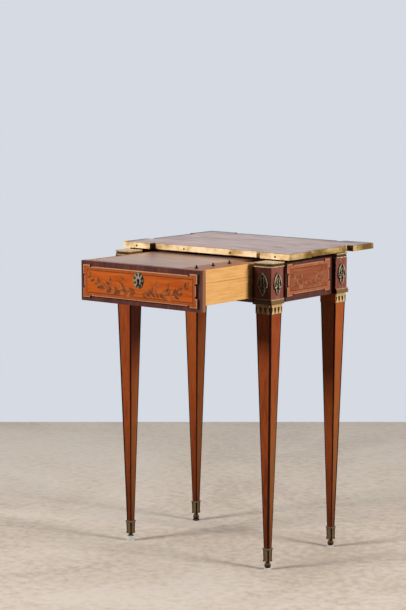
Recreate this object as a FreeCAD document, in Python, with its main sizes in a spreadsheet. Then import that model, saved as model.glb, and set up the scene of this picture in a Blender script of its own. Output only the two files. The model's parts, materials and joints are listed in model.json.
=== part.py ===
import FreeCAD, Part
import math
import os
import re

from FreeCAD import Placement, Rotation, Vector

# Small writing table: a body on four tapered legs, a top that slides back over it,
# and a front drawer with a writing board and three lidded compartments.
# +X runs right along the front, +Y towards the back, +Z up. The table stands as in use, drawer out and
# top pushed back, and the origin is on the floor under the middle of that whole extent.
# Formulas for Y count from the middle between the legs; stood_y is where that middle stands.

SIZES = {
    # frame of legs and posts
    "leg_spacing_x": 414.0,
    "leg_spacing_y": 255.0,
    "leg_height": 617.5,
    "post_height": 83.5,
    "post_size": 46.0,
    "block_size": 43.0,
    "capital_height": 22.5,
    "leg_top_size": 41.0,
    "leg_foot_size": 11.7,
    "string_top": 3.4,
    "string_foot": 1.6,
    # aprons and front rail
    "apron_thickness": 18.0,
    "apron_drop": 2.5,
    "ground_recess": 6.5,
    "tenon_length": 16.0,
    "tenon_thickness": 8.0,
    "tenon_shoulder": 16.0,
    "rail_height": 12.5,
    "rail_depth": 19.0,
    "rail_shoulder": 4.0,
    "rail_set_back": 0.5,
    # raised panels with eared corners
    "panel_raise": 4.0,
    "panel_margin": 8.5,
    "panel_side_margin": 19.5,
    "apron_panel_margin": 11.4,
    "panel_ear_length": 20.5,
    "panel_ear_height": 21.0,
    "panel_ear_step": 3.5,
    "panel_bite": 2.4,
    "panel_chamfer": 0.8,
    # bronze caps, base mouldings, capitals, post mounts
    "cap_height": 10.5,
    "cap_low_fillet": 3.5,
    "cap_cove": 5.0,
    "cap_round": 12.0,
    "moulding_overhang": 3.5,
    "moulding_waist": 1.0,
    "moulding_fillet": 3.2,
    "base_height": 11.5,
    "base_plate": 7.0,
    "base_fillet": 1.5,
    "base_round": 2.0,
    "capital_width": 39.0,
    "capital_band": 7.0,
    "capital_proud": 2.0,
    "drop_width": 8.4,
    "drop_neck": 5.2,
    "drop_inset": 1.4,
    "mount_height": 55.0,
    "mount_width": 36.0,
    "mount_thickness": 2.0,
    "mount_bar": 3.2,
    "mount_lift": 6.0,
    # sabots and glides
    "glide_height": 4.0,
    "glide_diameter": 16.0,
    "pad_height": 13.0,
    "pad_diameter": 17.0,
    "pad_clearance": 0.2,
    "ball_height": 11.3,
    "ball_diameter": 15.2,
    "neck_height": 4.0,
    "neck_diameter": 9.6,
    "sabot_height": 31.2,
    "sabot_floor": 5.0,
    "sabot_wall": 1.0,
    "sabot_lip": 1.7,
    "sabot_lip_height": 5.0,
    "sabot_collar": 3.5,
    "collar_lip": 0.8,
    # sliding top
    "top_thickness": 13.5,
    "top_overhang_x": 16.0,
    "top_overhang_y": 21.0,
    "top_ear_x": 83.0,
    "top_ear_y": 87.0,
    "top_ear_step": 9.0,
    "top_bite": 8.0,
    "edging_thickness": 2.0,
    "top_back": 67.9,
    "top_travel": 120.0,
    "slide_clearance": 0.3,
    "cap_gap": 3.0,
    "batten_width": 8.5,
    "batten_drop": 34.0,
    "tongue_height": 9.5,
    "tongue_lift": 2.0,
    "keeper_height": 10.0,
    "running_clearance": 0.3,
    # drawer
    "drawer_pull": 189.0,
    "drawer_headroom": 7.5,
    "drawer_gap": 2.0,
    "jamb_thickness": 7.0,
    "jamb_set_back": 2.0,
    "facing_thickness": 6.0,
    "core_thickness": 10.5,
    "side_inset": 5.0,
    "side_thickness": 10.0,
    "drawer_back_thickness": 8.0,
    "bottom_thickness": 6.0,
    "bottom_lift": 4.0,
    "board_thickness": 7.5,
    "board_sink": 0.5,
    "cleat_width": 6.0,
    "cleat_height": 8.0,
    "guide_height": 17.5,
    "runner_reach": 12.0,
    "stop_width": 60.0,
    "stop_depth": 9.7,
    "stop_height": 30.0,
    # compartments and lids
    "lid_width": 55.0,
    "lid_length": 55.5,
    "lid_clearance": 0.5,
    "divider_thickness": 10.0,
    "lid_ledge": 4.0,
    "partition_thickness": 6.0,
    "knob_height": 7.0,
    "knob_base": 10.0,
    "knob_waist": 3.0,
    "knob_tip": 4.0,
    "knob_step": 3.5,
    # lock and escutcheon
    "lock_width": 60.0,
    "lock_height": 40.0,
    "lock_depth": 7.5,
    "bolt_width": 18.0,
    "bolt_thickness": 4.0,
    "bolt_length": 26.0,
    "bolt_clearance": 0.2,
    "bolt_well": 28.0,
    "mortise_depth": 8.0,
    "mortise_clearance": 0.5,
    "escutcheon_width": 31.5,
    "escutcheon_height": 37.5,
    "escutcheon_thickness": 1.8,
    "escutcheon_drop": 15.0,
    "keyhole_width": 5.0,
    "keyhole_length": 10.5,
}

# Levels and faces that several pieces share, each worked out once from the sizes.
LEVELS = {
    "half_x": "leg_spacing_x / 2",
    "half_y": "leg_spacing_y / 2",
    "post_half": "post_size / 2",
    "post_out_x": "half_x + post_half",
    "post_out_y": "half_y + post_half",
    "post_in_x": "half_x - post_half",
    "post_in_y": "half_y - post_half",
    "post_top": "leg_height + post_height",
    "cap_top": "post_top + cap_height",
    "top_low": "cap_top + cap_gap",
    "top_high": "top_low + top_thickness",
    "top_half_x": "post_out_x + top_overhang_x",
    "top_half_y": "post_out_y + top_overhang_y",
    "block_low": "leg_height - capital_height",
    "apron_low": "leg_height - apron_drop",
    "apron_high": "top_low - slide_clearance",
    "ground_x": "post_out_x - ground_recess",
    "ground_y": "post_out_y - ground_recess",
    "apron_in_x": "ground_x - apron_thickness",
    "apron_in_y": "ground_y - apron_thickness",
    "rail_high": "apron_low + rail_height",
    "tenon_low": "leg_height + tenon_shoulder",
    "tenon_high": "post_top - tenon_shoulder",
    "sabot_low": "glide_height + ball_height + neck_height",
    "sabot_top": "sabot_low + sabot_height",
    "foot_z": "sabot_low + sabot_floor",
    "leg_flare": "(leg_top_size - leg_foot_size) / (block_low - foot_z)",
    "leg_at_rim": "leg_foot_size + leg_flare * (sabot_top - foot_z)",
    "lip_z": "sabot_top - sabot_lip_height",
    # closed drawer: its ground face lies level with the aprons' ground
    "drawer_y": "-ground_y - drawer_pull",
    "drawer_end": "apron_in_y - stop_depth - running_clearance - drawer_pull",
    "core_y0": "drawer_y + facing_thickness",
    "core_y1": "core_y0 + core_thickness",
    "front_high": "top_low - drawer_headroom",
    "front_half": "post_in_x - jamb_thickness - drawer_gap",
    "side_out": "front_half - side_inset",
    "side_in": "side_out - side_thickness",
    "side_low": "rail_high + running_clearance",
    "back_y": "drawer_end - drawer_back_thickness",
    "bottom_low": "side_low + bottom_lift",
    "bottom_high": "bottom_low + bottom_thickness",
    "board_high": "front_high - board_sink",
    "board_low": "board_high - board_thickness",
    "lid_x1": "side_in - lid_clearance",
    "lid_x0": "lid_x1 - lid_width",
    "divider_x1": "lid_x0 + lid_ledge",
    "divider_x0": "divider_x1 - divider_thickness",
    "lid_pitch": "lid_length + lid_clearance",
    "lids_y": "core_y1 + lid_clearance",
    "closed_core_y1": "core_y1 + drawer_pull",
    "rail_y0": "closed_core_y1 + rail_set_back",
    "rail_y1": "rail_y0 + rail_depth",
    # battens of the top run between the posts, which stop them at both ends
    "batten_length": "2 * post_in_y - top_travel - 2 * running_clearance",
    "batten_y0": "running_clearance - post_in_y + top_back",
    "tongue_x1": "apron_in_x - running_clearance",
    "keeper_x0": "apron_in_x - batten_width",
    "batten_x1": "keeper_x0 - running_clearance",
    "batten_x0": "batten_x1 - batten_width",
    "batten_low": "top_low - batten_drop",
    "tongue_low": "batten_low + tongue_lift",
    "tongue_top": "tongue_low + tongue_height",
    "keeper_low": "tongue_top + running_clearance",
    "lock_low": "front_high - lock_height",
    "bolt_y": "core_y1 - lock_depth / 2",
    "mortise_y0": "bolt_y + drawer_pull - bolt_thickness / 2 - mortise_clearance",
    "apron_middle": "(leg_height + apron_high) / 2",
    "apron_panel_half": "(apron_high - leg_height) / 2 - apron_panel_margin",
    "side_panel_half": "post_in_y - panel_side_margin",
    "back_panel_half": "post_in_x - panel_side_margin",
    "front_middle": "(apron_low + front_high) / 2",
    "front_panel_height": "(front_high - apron_low) / 2 - panel_margin",
    "front_panel_half": "front_half - panel_margin",
    "panel_face_y": "drawer_y - panel_raise",
    "stood_y": "(escutcheon_thickness - panel_face_y - top_half_y - top_back) / 2",
    "mount_level": "leg_height + base_height + mount_lift + mount_height / 2",
    "escutcheon_z": "front_high - escutcheon_drop - escutcheon_height / 2",
}

doc = FreeCAD.newDocument("writing_table")
sheet = doc.addObject("Spreadsheet::Sheet", "Sizes")
for row, (alias, value) in enumerate(SIZES.items(), start=1):
    sheet.set(f"A{row}", alias)
    sheet.set(f"B{row}", repr(value))
    sheet.setAlias(f"B{row}", alias)
levels = doc.addObject("App::VarSet", "Levels")
doc.recompute()


def bound(formula):
    """A formula of sizes and levels as an expression of the document."""

    def owner(match):
        word = match.group(0)
        if word in SIZES:
            return f"Sizes.{word}"
        if word in LEVELS:
            return f"Levels.{word}"
        return word

    return re.sub(r"[a-z_][a-z_0-9]*", owner, formula)


for name, formula in LEVELS.items():
    levels.addProperty("App::PropertyFloat", name)
    levels.setExpression(name, bound(formula))
    doc.recompute()


def v(name):
    """The present value of a size or a level."""
    if name in SIZES:
        return float(getattr(sheet, name))
    return float(getattr(levels, name))


nodes = {}


def keep(label, piece):
    """Names a finished piece and lists it for export."""
    piece.Label = label
    nodes[label] = piece
    return piece


def place(piece, x="0", y="0", z="0", middle="stood_y"):
    """Binds a piece's place to formulas of the sizes, Y counted from the table's middle."""
    for axis, formula in zip("xyz", (x, f"{y} + {middle}", z)):
        piece.setExpression(f"Placement.Base.{axis}", bound(formula))


def raw_box(name, xs, ys, zs):
    """A box between formulas for its low and high faces."""
    piece = doc.addObject("Part::Box", name)
    for prop, (low, high) in zip(("Length", "Width", "Height"), (xs, ys, zs)):
        piece.setExpression(prop, bound(f"({high}) - ({low})"))
    place(piece, xs[0], ys[0], zs[0])
    return piece


def box(label, xs, ys, zs):
    return keep(label, raw_box(label, xs, ys, zs))


def mirrored(low, high, side):
    """A pair of X faces, or the same pair across the middle for side -1."""
    if side > 0:
        return low, high
    return f"-({high})", f"-({low})"


def fuse(label, pieces):
    whole = doc.addObject("Part::MultiFuse", label)
    whole.Shapes = pieces
    whole.Refine = True
    return whole


def cut(label, base, tool):
    rest = doc.addObject("Part::Cut", label)
    rest.Base = base
    rest.Tool = tool
    return rest


def group(label, pieces):
    """Separate solids of one kind as one node."""
    whole = doc.addObject("Part::Compound", label)
    whole.Links = pieces
    return keep(label, whole)


def new_body(label):
    return doc.addObject("PartDesign::Body", label)


def plane_of(body, role):
    return next(f for f in body.Origin.OriginFeatures if f.Role == role)


def sketch(body, name, role, offset, loops, rise="0"):
    """A sketch of closed loops on one of the body's origin planes, moved along its normal and upward."""
    drawn = body.newObject("Sketcher::SketchObject", name)
    drawn.AttachmentSupport = [(plane_of(body, role), "")]
    drawn.MapMode = "FlatFace"
    drawn.setExpression("AttachmentOffset.Base.z", bound(offset))
    drawn.setExpression("AttachmentOffset.Base.y", bound(rise))
    for loop in loops:
        drawn.addGeometry(loop, False)
    return drawn


def lines(points):
    """A closed loop of straight lines through (x, y) points."""
    corners = [Vector(x, y, 0) for x, y in points]
    return [Part.LineSegment(p, q) for p, q in zip(corners, corners[1:] + corners[:1])]


def square(size):
    return [(-size / 2, -size / 2), (size / 2, -size / 2), (size / 2, size / 2), (-size / 2, size / 2)]


def pad(body, name, drawn, length, back=False):
    solid = body.newObject("PartDesign::Pad", name)
    solid.Profile = drawn
    solid.setExpression("Length", bound(length))
    solid.Reversed = back
    return solid


def loft(body, name, low, high, kind="PartDesign::AdditiveLoft"):
    solid = body.newObject(kind, name)
    solid.Profile = low
    solid.Sections = [high]
    solid.Ruled = True
    return solid


def revolve(body, name, profile):
    """A turned form: a profile in the XZ plane spun round the vertical axis."""
    drawn = sketch(body, f"{name}Profile", "XZ_Plane", "0", [profile])
    solid = body.newObject("PartDesign::Revolution", name)
    solid.Profile = drawn
    solid.ReferenceAxis = (drawn, ["V_Axis"])
    solid.Angle = 360
    return solid


def cut_box(body, name, xs, ys, zs):
    """A box-shaped recess in a body, between formulas in the body's own frame."""
    hole = body.newObject("PartDesign::SubtractiveBox", name)
    for prop, (low, high) in zip(("Length", "Width", "Height"), (xs, ys, zs)):
        hole.setExpression(prop, bound(f"({high}) - ({low})"))
    place(hole, xs[0], ys[0], zs[0], "0")
    return hole


def bent(start, through, end, chords):
    """A bend as one arc or, where many repeat, as equal chords of that arc."""
    arc = Part.Arc(start, through, end)
    if not chords:
        return [arc]
    span = arc.LastParameter - arc.FirstParameter
    points = [arc.value(arc.FirstParameter + span * i / chords) for i in range(chords + 1)]
    if points[0].distanceToPoint(start) > points[-1].distanceToPoint(start):
        points.reverse()
    return [Part.LineSegment(p, q) for p, q in zip(points, points[1:])]


def eared_loop(half_w, half_h, ear_w, ear_h, step, bite, inset=0.0, chords=0):
    """Rectangle with ears at its corners and a half-round bite inside each ear, drawn in by inset."""
    corner = Vector(half_w - inset, half_h - inset, 0)
    radius = bite + inset
    reach = math.sqrt(radius**2 - inset**2)
    # one quarter, from the middle of the right side to the middle of the top
    side_x = half_w - step - inset
    bite_y = half_h - ear_h - bite
    top_y = half_h - step - inset
    bite_x = half_w - ear_w - bite
    quarter = [
        ("line", Vector(side_x, 0, 0), Vector(side_x, bite_y - reach, 0)),
        (
            "arc",
            Vector(side_x, bite_y - reach, 0),
            Vector(half_w - step - radius, bite_y, 0),
            Vector(half_w - step, bite_y + radius, 0),
        ),
        ("line", Vector(half_w - step, bite_y + radius, 0), Vector(corner.x, bite_y + radius, 0)),
        ("line", Vector(corner.x, bite_y + radius, 0), corner),
        ("line", corner, Vector(bite_x + radius, corner.y, 0)),
        ("line", Vector(bite_x + radius, corner.y, 0), Vector(bite_x + radius, half_h - step, 0)),
        (
            "arc",
            Vector(bite_x + radius, half_h - step, 0),
            Vector(bite_x, half_h - step - radius, 0),
            Vector(bite_x - reach, top_y, 0),
        ),
        ("line", Vector(bite_x - reach, top_y, 0), Vector(0, top_y, 0)),
    ]
    loop = []
    for flip_x, flip_y in ((1, 1), (-1, 1), (-1, -1), (1, -1)):
        for kind, *points in quarter:
            moved = [Vector(p.x * flip_x, p.y * flip_y, 0) for p in points]
            loop += [Part.LineSegment(*moved)] if kind == "line" else bent(*moved, chords)
    return loop


def corner_outline(overhang, radius, full):
    """Outline round a post's two outer faces, its outer corner rounded: a full plate or only the wrap."""
    half = v("post_half")
    out = half + overhang
    turn = radius * (1 - math.sqrt(0.5))
    points = [
        Vector(-half, -half, 0),
        Vector(-half, -out, 0),
        Vector(out - radius, -out, 0),
        Vector(out - turn, -out + turn, 0),
        Vector(out, -out + radius, 0),
        Vector(out, half, 0),
        Vector(half, half, 0),
    ]
    loop = [
        Part.LineSegment(points[0], points[1]),
        Part.LineSegment(points[1], points[2]),
        Part.Arc(points[2], points[3], points[4]),
        Part.LineSegment(points[4], points[5]),
        Part.LineSegment(points[5], points[6]),
    ]
    inner = Vector(-half, half, 0) if full else Vector(half, -half, 0)
    return loop + [Part.LineSegment(points[6], inner), Part.LineSegment(inner, points[0])]


SIDES = (("left", -1), ("right", 1))
# each leg's name, its side along X and Y, and the quarter turn that brings the front right corner to it
CORNERS = (
    ("front_left", -1, -1, -90),
    ("front_right", 1, -1, 0),
    ("back_right", 1, 1, 90),
    ("back_left", -1, 1, 180),
)


def stand(piece, side_x, side_y, turn, z="0"):
    """Sets a corner piece on its leg's axis, turned to that corner."""
    place(piece, f"{side_x} * half_x", f"{side_y} * half_y", z)
    piece.Placement = Placement(piece.Placement.Base, Rotation(Vector(0, 0, 1), turn))


def tapered(body, name, low, high, foot, head):
    """A straight-sided taper between two levels; foot and head are half widths along X and Y."""
    wedge = body.newObject("PartDesign::AdditiveWedge", name)
    spans = {"Y": (low, high)}
    for axis, half_foot, half_head in zip("XZ", foot, head):
        spans[axis] = (f"-({half_foot})", half_foot)
        spans[f"{axis}2"] = (f"-({half_head})", half_head)
    for axis, (least, most) in spans.items():
        wedge.setExpression(f"{axis}min", bound(least))
        wedge.setExpression(f"{axis}max", bound(most))
    wedge.Placement = Placement(Vector(), Rotation(Vector(1, 0, 0), 90))
    return wedge


# Legs: a tapered shaft, its two crossed tapers leaving the arrises rebated, a capital block and a square
# post, mortised for what they hold.
for corner, side_x, side_y, turn in CORNERS:
    leg = new_body(f"leg_{corner}")
    foot = ("leg_foot_size / 2", "leg_foot_size / 2 - string_foot")
    head = ("leg_top_size / 2", "leg_top_size / 2 - string_top")
    tapered(leg, "ShaftAcross", "foot_z", "block_low", foot, head)
    tapered(leg, "ShaftAlong", "foot_z", "block_low", foot[::-1], head[::-1])
    block = sketch(leg, "Block", "XY_Plane", "block_low", [lines(square(v("block_size")))])
    pad(leg, "CapitalBlock", block, "capital_height")
    post = sketch(leg, "PostSquare", "XY_Plane", "leg_height", [lines(square(v("post_size")))])
    pad(leg, "Post", post, "post_height")
    side_tenon = "ground_x - apron_thickness / 2 - half_x"
    tenon_x0 = f"{side_x} * ({side_tenon}) - tenon_thickness / 2"
    tenon_y0 = "post_half - tenon_length" if side_y < 0 else "-post_half"
    cut_box(
        leg,
        "SideMortise",
        (tenon_x0, f"{tenon_x0} + tenon_thickness"),
        (tenon_y0, f"{tenon_y0} + tenon_length"),
        ("tenon_low", "tenon_high"),
    )
    if side_y < 0:
        cross_y0 = "rail_y0 + rail_depth / 2 - tenon_thickness / 2 + half_y"
        cross_z = ("apron_low + rail_shoulder", "rail_high - rail_shoulder")
    else:
        cross_y0 = "ground_y - apron_thickness / 2 - tenon_thickness / 2 - half_y"
        cross_z = ("tenon_low", "tenon_high")
    cross_x0 = "-post_half" if side_x > 0 else "post_half - tenon_length"
    cut_box(
        leg,
        "CrossMortise",
        (cross_x0, f"{cross_x0} + tenon_length"),
        (cross_y0, f"{cross_y0} + tenon_thickness"),
        cross_z,
    )
    place(leg, f"{side_x} * half_x", f"{side_y} * half_y")
    keep(f"leg_{corner}", leg)

# Dark stringing let into the four arrises of each leg.
SHAFT_ENDS = (("leg_foot_size", "string_foot", "foot_z"), ("leg_top_size", "string_top", "block_low"))
strips = []
for corner, side_x, side_y, turn in CORNERS:
    centre = Vector(side_x * v("half_x"), side_y * v("half_y"), 0)
    for flip_x in (-1, 1):
        for flip_y in (-1, 1):
            ends = []
            for size, string, level in SHAFT_ENDS:
                half, inner = v(size) / 2, v(size) / 2 - v(string)
                ring = [(half, half), (inner, half), (inner, inner), (half, inner)]
                points = [centre + Vector(x * flip_x, y * flip_y, v(level)) for x, y in ring]
                ends.append(Part.makePolygon(points + points[:1]))
            strips.append(Part.makeLoft(ends, True, True))
stringing = doc.addObject("Part::Feature", "leg_stringing")
stringing.Shape = Part.makeCompound(strips)
place(stringing)
keep("leg_stringing", stringing)


def apron(label, board, tenon):
    """A board whose tenons run out of both ends into the posts."""
    return keep(label, fuse(label, [raw_box(f"{label}_board", *board), raw_box(f"{label}_tenons", *tenon)]))


for side, sign in SIDES:
    tenon_x0 = "ground_x - apron_thickness / 2 - tenon_thickness / 2"
    apron(
        f"apron_{side}",
        (mirrored("apron_in_x", "ground_x", sign), ("-post_in_y", "post_in_y"), ("leg_height", "apron_high")),
        (
            mirrored(tenon_x0, f"{tenon_x0} + tenon_thickness", sign),
            ("-post_in_y - tenon_length", "post_in_y + tenon_length"),
            ("tenon_low", "tenon_high"),
        ),
    )
tenon_y0 = "ground_y - apron_thickness / 2 - tenon_thickness / 2"
apron(
    "apron_back",
    (("-post_in_x", "post_in_x"), ("apron_in_y", "ground_y"), ("leg_height", "apron_high")),
    (
        ("-post_in_x - tenon_length", "post_in_x + tenon_length"),
        (tenon_y0, f"{tenon_y0} + tenon_thickness"),
        ("tenon_low", "tenon_high"),
    ),
)
rail_y = "rail_y0 + rail_depth / 2 - tenon_thickness / 2"
apron(
    "front_bottom_rail",
    (("-post_in_x", "post_in_x"), ("rail_y0", "rail_y1"), ("apron_low", "rail_high")),
    (
        ("-post_in_x - tenon_length", "post_in_x + tenon_length"),
        (rail_y, f"{rail_y} + tenon_thickness"),
        ("apron_low + rail_shoulder", "rail_high - rail_shoulder"),
    ),
)

# Drawer runners, guides, front jambs, rear stop, and the strips that hold the top down.
for side, sign in SIDES:
    box(
        f"drawer_runner_{side}",
        mirrored("side_in - runner_reach", "post_in_x", sign),
        ("rail_y1", "apron_in_y"),
        ("leg_height", "rail_high"),
    )
    box(
        f"drawer_guide_{side}",
        mirrored("side_out + 2 * running_clearance", "post_in_x", sign),
        ("rail_y1", "apron_in_y"),
        ("rail_high", "rail_high + guide_height"),
    )
    box(
        f"drawer_jamb_{side}",
        mirrored("post_in_x - jamb_thickness", "post_in_x", sign),
        ("-post_out_y + jamb_set_back", "rail_y0"),
        ("apron_low", "post_top"),
    )
    box(
        f"top_keeper_{side}",
        mirrored("keeper_x0", "apron_in_x", sign),
        ("-post_in_y", "post_in_y"),
        ("keeper_low", "keeper_low + keeper_height"),
    )
box(
    "drawer_stop",
    ("-stop_width / 2", "stop_width / 2"),
    ("apron_in_y - stop_depth", "apron_in_y"),
    ("side_low", "side_low + stop_height"),
)


BITE_CHORDS = 6


def raised_panel(label, role, half_w, half_h, middle, ground, back=False):
    """Eared panel standing proud of a ground, the edge of its face chamfered."""
    body = new_body(label)
    ears = (v("panel_ear_length"), v("panel_ear_height"), v("panel_ear_step"), v("panel_bite"))
    outline = eared_loop(v(half_w), v(half_h), *ears, chords=BITE_CHORDS)
    drawn = sketch(body, "Outline", role, ground, [outline], middle)
    raised = pad(body, "Raise", drawn, "panel_raise", back)
    doc.recompute()
    outward = drawn.Placement.Rotation.multVec(Vector(0, 0, -1 if back else 1))
    heights = [face.CenterOfMass.dot(outward) for face in raised.Shape.Faces]
    edge = body.newObject("PartDesign::Chamfer", "Edge")
    edge.Base = (raised, [f"Face{heights.index(max(heights)) + 1}"])
    edge.setExpression("Size", bound("panel_chamfer"))
    place(body)
    return keep(label, body)


apron_panel = ("apron_panel_half", "apron_middle")
raised_panel("side_panel_right", "YZ_Plane", "side_panel_half", *apron_panel, "ground_x")
raised_panel("side_panel_left", "YZ_Plane", "side_panel_half", *apron_panel, "-ground_x", True)
raised_panel("back_panel", "XZ_Plane", "back_panel_half", *apron_panel, "-ground_y", True)
front_panel = ("front_panel_half", "front_panel_height", "front_middle")
raised_panel("drawer_front_panel", "XZ_Plane", *front_panel, "-drawer_y")


def moulding(body, tiers, radius, full):
    """Stacks tiers on a post's outer faces, each from one overhang at its foot to another at its head."""
    for name, low, high, under, over in tiers:
        foot = sketch(body, f"{name}Foot", "XY_Plane", low, [corner_outline(v(under), v(radius), full)])
        if under == over:
            pad(body, name, foot, f"({high}) - ({low})")
        else:
            head = sketch(body, f"{name}Head", "XY_Plane", high, [corner_outline(v(over), v(radius), full)])
            loft(body, name, foot, head)


# Bronze caps on the posts: a low fillet, a cove and an upper fillet, rounded at the outer corner.
for corner, side_x, side_y, turn in CORNERS:
    cap = new_body(f"post_cap_{corner}")
    cove_top = "cap_low_fillet + cap_cove"
    tiers = (
        ("LowFillet", "0", "cap_low_fillet", "moulding_fillet", "moulding_fillet"),
        ("Cove", "cap_low_fillet", cove_top, "moulding_waist", "moulding_overhang"),
        ("Brow", cove_top, "cap_height", "moulding_overhang", "moulding_overhang"),
    )
    moulding(cap, tiers, "cap_round", True)
    stand(cap, side_x, side_y, turn, "post_top")
    keep(f"post_cap_{corner}", cap)

# Base mouldings wrapped round the two outer faces of each post.
bases = []
for corner, side_x, side_y, turn in CORNERS:
    base = new_body(f"base_{corner}")
    slope_top = "base_height - base_fillet"
    tiers = (
        ("Plate", "0", "base_plate", "moulding_overhang", "moulding_overhang"),
        ("Slope", "base_plate", slope_top, "moulding_overhang", "moulding_waist"),
        ("Fillet", slope_top, "base_height", "moulding_fillet", "moulding_fillet"),
    )
    moulding(base, tiers, "base_round", False)
    stand(base, side_x, side_y, turn, "leg_height")
    bases.append(base)
group("post_base_mouldings", bases)

# Outer faces of the posts, as turns of the face that looks to the front.
OUTER_FACES = [
    (side_x, side_y, turn)
    for _, side_x, side_y, _ in CORNERS
    for turn in ((0 if side_y < 0 else 180), (90 if side_x > 0 else -90))
]


def on_faces(label, master, reach, level):
    """Copies of a plate on every outer face, its back at a distance from the leg's axis."""
    copies = []
    for side_x, side_y, turn in OUTER_FACES:
        copy = master.Shape.copy()
        spin = Rotation(Vector(0, 0, 1), turn)
        out = spin.multVec(Vector(0, -reach, 0))
        base = Vector(side_x * v("half_x"), side_y * v("half_y"), level) + out
        copy.Placement = Placement(base, spin)
        copies.append(copy)
    whole = doc.addObject("Part::Feature", label)
    whole.Shape = Part.makeCompound(copies)
    place(whole)
    return keep(label, whole)


# Capitals: a band with three tapered drops hanging from it.
plaque = new_body("capital_plaque")
half_band = v("capital_width") / 2
drop_top = v("capital_height") - v("capital_band")
outer_drop = half_band - v("drop_width") / 2 - v("drop_inset")
comb = [(-half_band, v("capital_height")), (-half_band, drop_top)]
for centre in (-outer_drop, 0.0, outer_drop):
    comb += [
        (centre - v("drop_neck") / 2, drop_top),
        (centre - v("drop_width") / 2, 0),
        (centre + v("drop_width") / 2, 0),
        (centre + v("drop_neck") / 2, drop_top),
    ]
comb += [(half_band, drop_top), (half_band, v("capital_height"))]
drawn = sketch(plaque, "Comb", "XZ_Plane", "0", [lines(comb)])
pad(plaque, "Plate", drawn, "capital_proud")
doc.recompute()
on_faces("leg_capitals", plaque, v("block_size") / 2, v("block_low"))


def arcs(ends, bulges, chords=0):
    """A closed loop of arcs from end to end, each through its bulge point, or of equal chords of them."""
    points = [Vector(x, y, 0) for x, y in ends]
    swells = [Vector(x, y, 0) for x, y in bulges]
    loop = []
    for start, swell, end in zip(points, swells, points[1:] + points[:1]):
        loop += bent(start, swell, end, chords)
    return loop


QUADRANTS = ((1, 1), (-1, 1), (-1, -1), (1, -1))

# Openwork mounts of the posts: a leaf of scrolled arcs, broad above and drawn to a tip below, pierced round
# a crossed centre. Points are shares of its half width and half height, down the right side from the crown.
SCROLL_ENDS = ((0.0, 1.0), (0.56, 0.80), (0.84, 0.42), (0.72, -0.20), (0.34, -0.66), (0.0, -1.0))
SCROLL_BENDS = ((0.34, 0.99), (0.95, 0.70), (1.00, 0.08), (0.68, -0.50), (0.24, -0.88))
SCROLL_CHORDS = 3
mount = new_body("post_mount")
mount_w, mount_h, bar = v("mount_width") / 2, v("mount_height") / 2, v("mount_bar") / 2
right_ends = [(x * mount_w, y * mount_h) for x, y in SCROLL_ENDS]
right_bends = [(x * mount_w, y * mount_h) for x, y in SCROLL_BENDS]
ends = right_ends + [(-x, y) for x, y in right_ends[-2:0:-1]]
bulges = right_bends + [(-x, y) for x, y in right_bends[::-1]]
piercing = [(bar, mount_h * 0.28), (mount_w * 0.3, bar), (mount_w * 0.62, bar)]
piercing += [(mount_w * 0.40, mount_h * 0.34), (bar, mount_h * 0.60)]
holes = [lines([(x * flip_x, y * flip_y) for x, y in piercing]) for flip_x, flip_y in QUADRANTS]
drawn = sketch(mount, "Openwork", "XZ_Plane", "0", [arcs(ends, bulges, SCROLL_CHORDS)] + holes)
pad(mount, "Plate", drawn, "mount_thickness")
doc.recompute()
on_faces("post_mounts", mount, v("post_half"), v("mount_level"))

# Sabots: tapered square sockets with a flared lip and a lower collar, on a turned neck and ball.
sabots = []
for corner, side_x, side_y, turn in CORNERS:
    sabot = new_body(f"sabot_{corner}")
    low_size = v("leg_foot_size") + 2 * v("sabot_wall")
    high_size = v("leg_at_rim") + 2 * v("sabot_wall")
    lip_size = high_size + 2 * v("sabot_lip")
    low = sketch(sabot, "Low", "XY_Plane", "sabot_low", [lines(square(low_size))])
    high = sketch(sabot, "High", "XY_Plane", "lip_z", [lines(square(high_size))])
    loft(sabot, "Socket", low, high)
    flare_low = sketch(sabot, "FlareLow", "XY_Plane", "lip_z", [lines(square(high_size))])
    flare_high = sketch(sabot, "FlareHigh", "XY_Plane", "sabot_top", [lines(square(lip_size))])
    loft(sabot, "Lip", flare_low, flare_high)
    ring = sketch(sabot, "Ring", "XY_Plane", "sabot_low", [lines(square(low_size + 2 * v("collar_lip")))])
    pad(sabot, "Collar", ring, "sabot_collar")
    neck_r, ball_r = v("neck_diameter") / 2, v("ball_diameter") / 2
    ball_low, ball_high = v("glide_height"), v("glide_height") + v("ball_height")
    waist = (ball_low + ball_high) / 2
    flat_r = math.sqrt(ball_r**2 - (waist - ball_low) ** 2)
    profile = [
        Part.LineSegment(Vector(0, ball_low, 0), Vector(flat_r, ball_low, 0)),
        Part.Arc(Vector(flat_r, ball_low, 0), Vector(ball_r, waist, 0), Vector(flat_r, ball_high, 0)),
        Part.LineSegment(Vector(flat_r, ball_high, 0), Vector(neck_r, ball_high, 0)),
        Part.LineSegment(Vector(neck_r, ball_high, 0), Vector(neck_r, v("sabot_low"), 0)),
        Part.LineSegment(Vector(neck_r, v("sabot_low"), 0), Vector(0, v("sabot_low"), 0)),
        Part.LineSegment(Vector(0, v("sabot_low"), 0), Vector(0, ball_low, 0)),
    ]
    revolve(sabot, "Ball", profile)
    foot = sketch(sabot, "SocketFoot", "XY_Plane", "foot_z", [lines(square(v("leg_foot_size")))])
    rim = sketch(sabot, "SocketRim", "XY_Plane", "sabot_top", [lines(square(v("leg_at_rim")))])
    loft(sabot, "Hollow", foot, rim, "PartDesign::SubtractiveLoft")
    place(sabot, f"{side_x} * half_x", f"{side_y} * half_y")
    sabots.append(sabot)
group("sabots", sabots)


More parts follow.
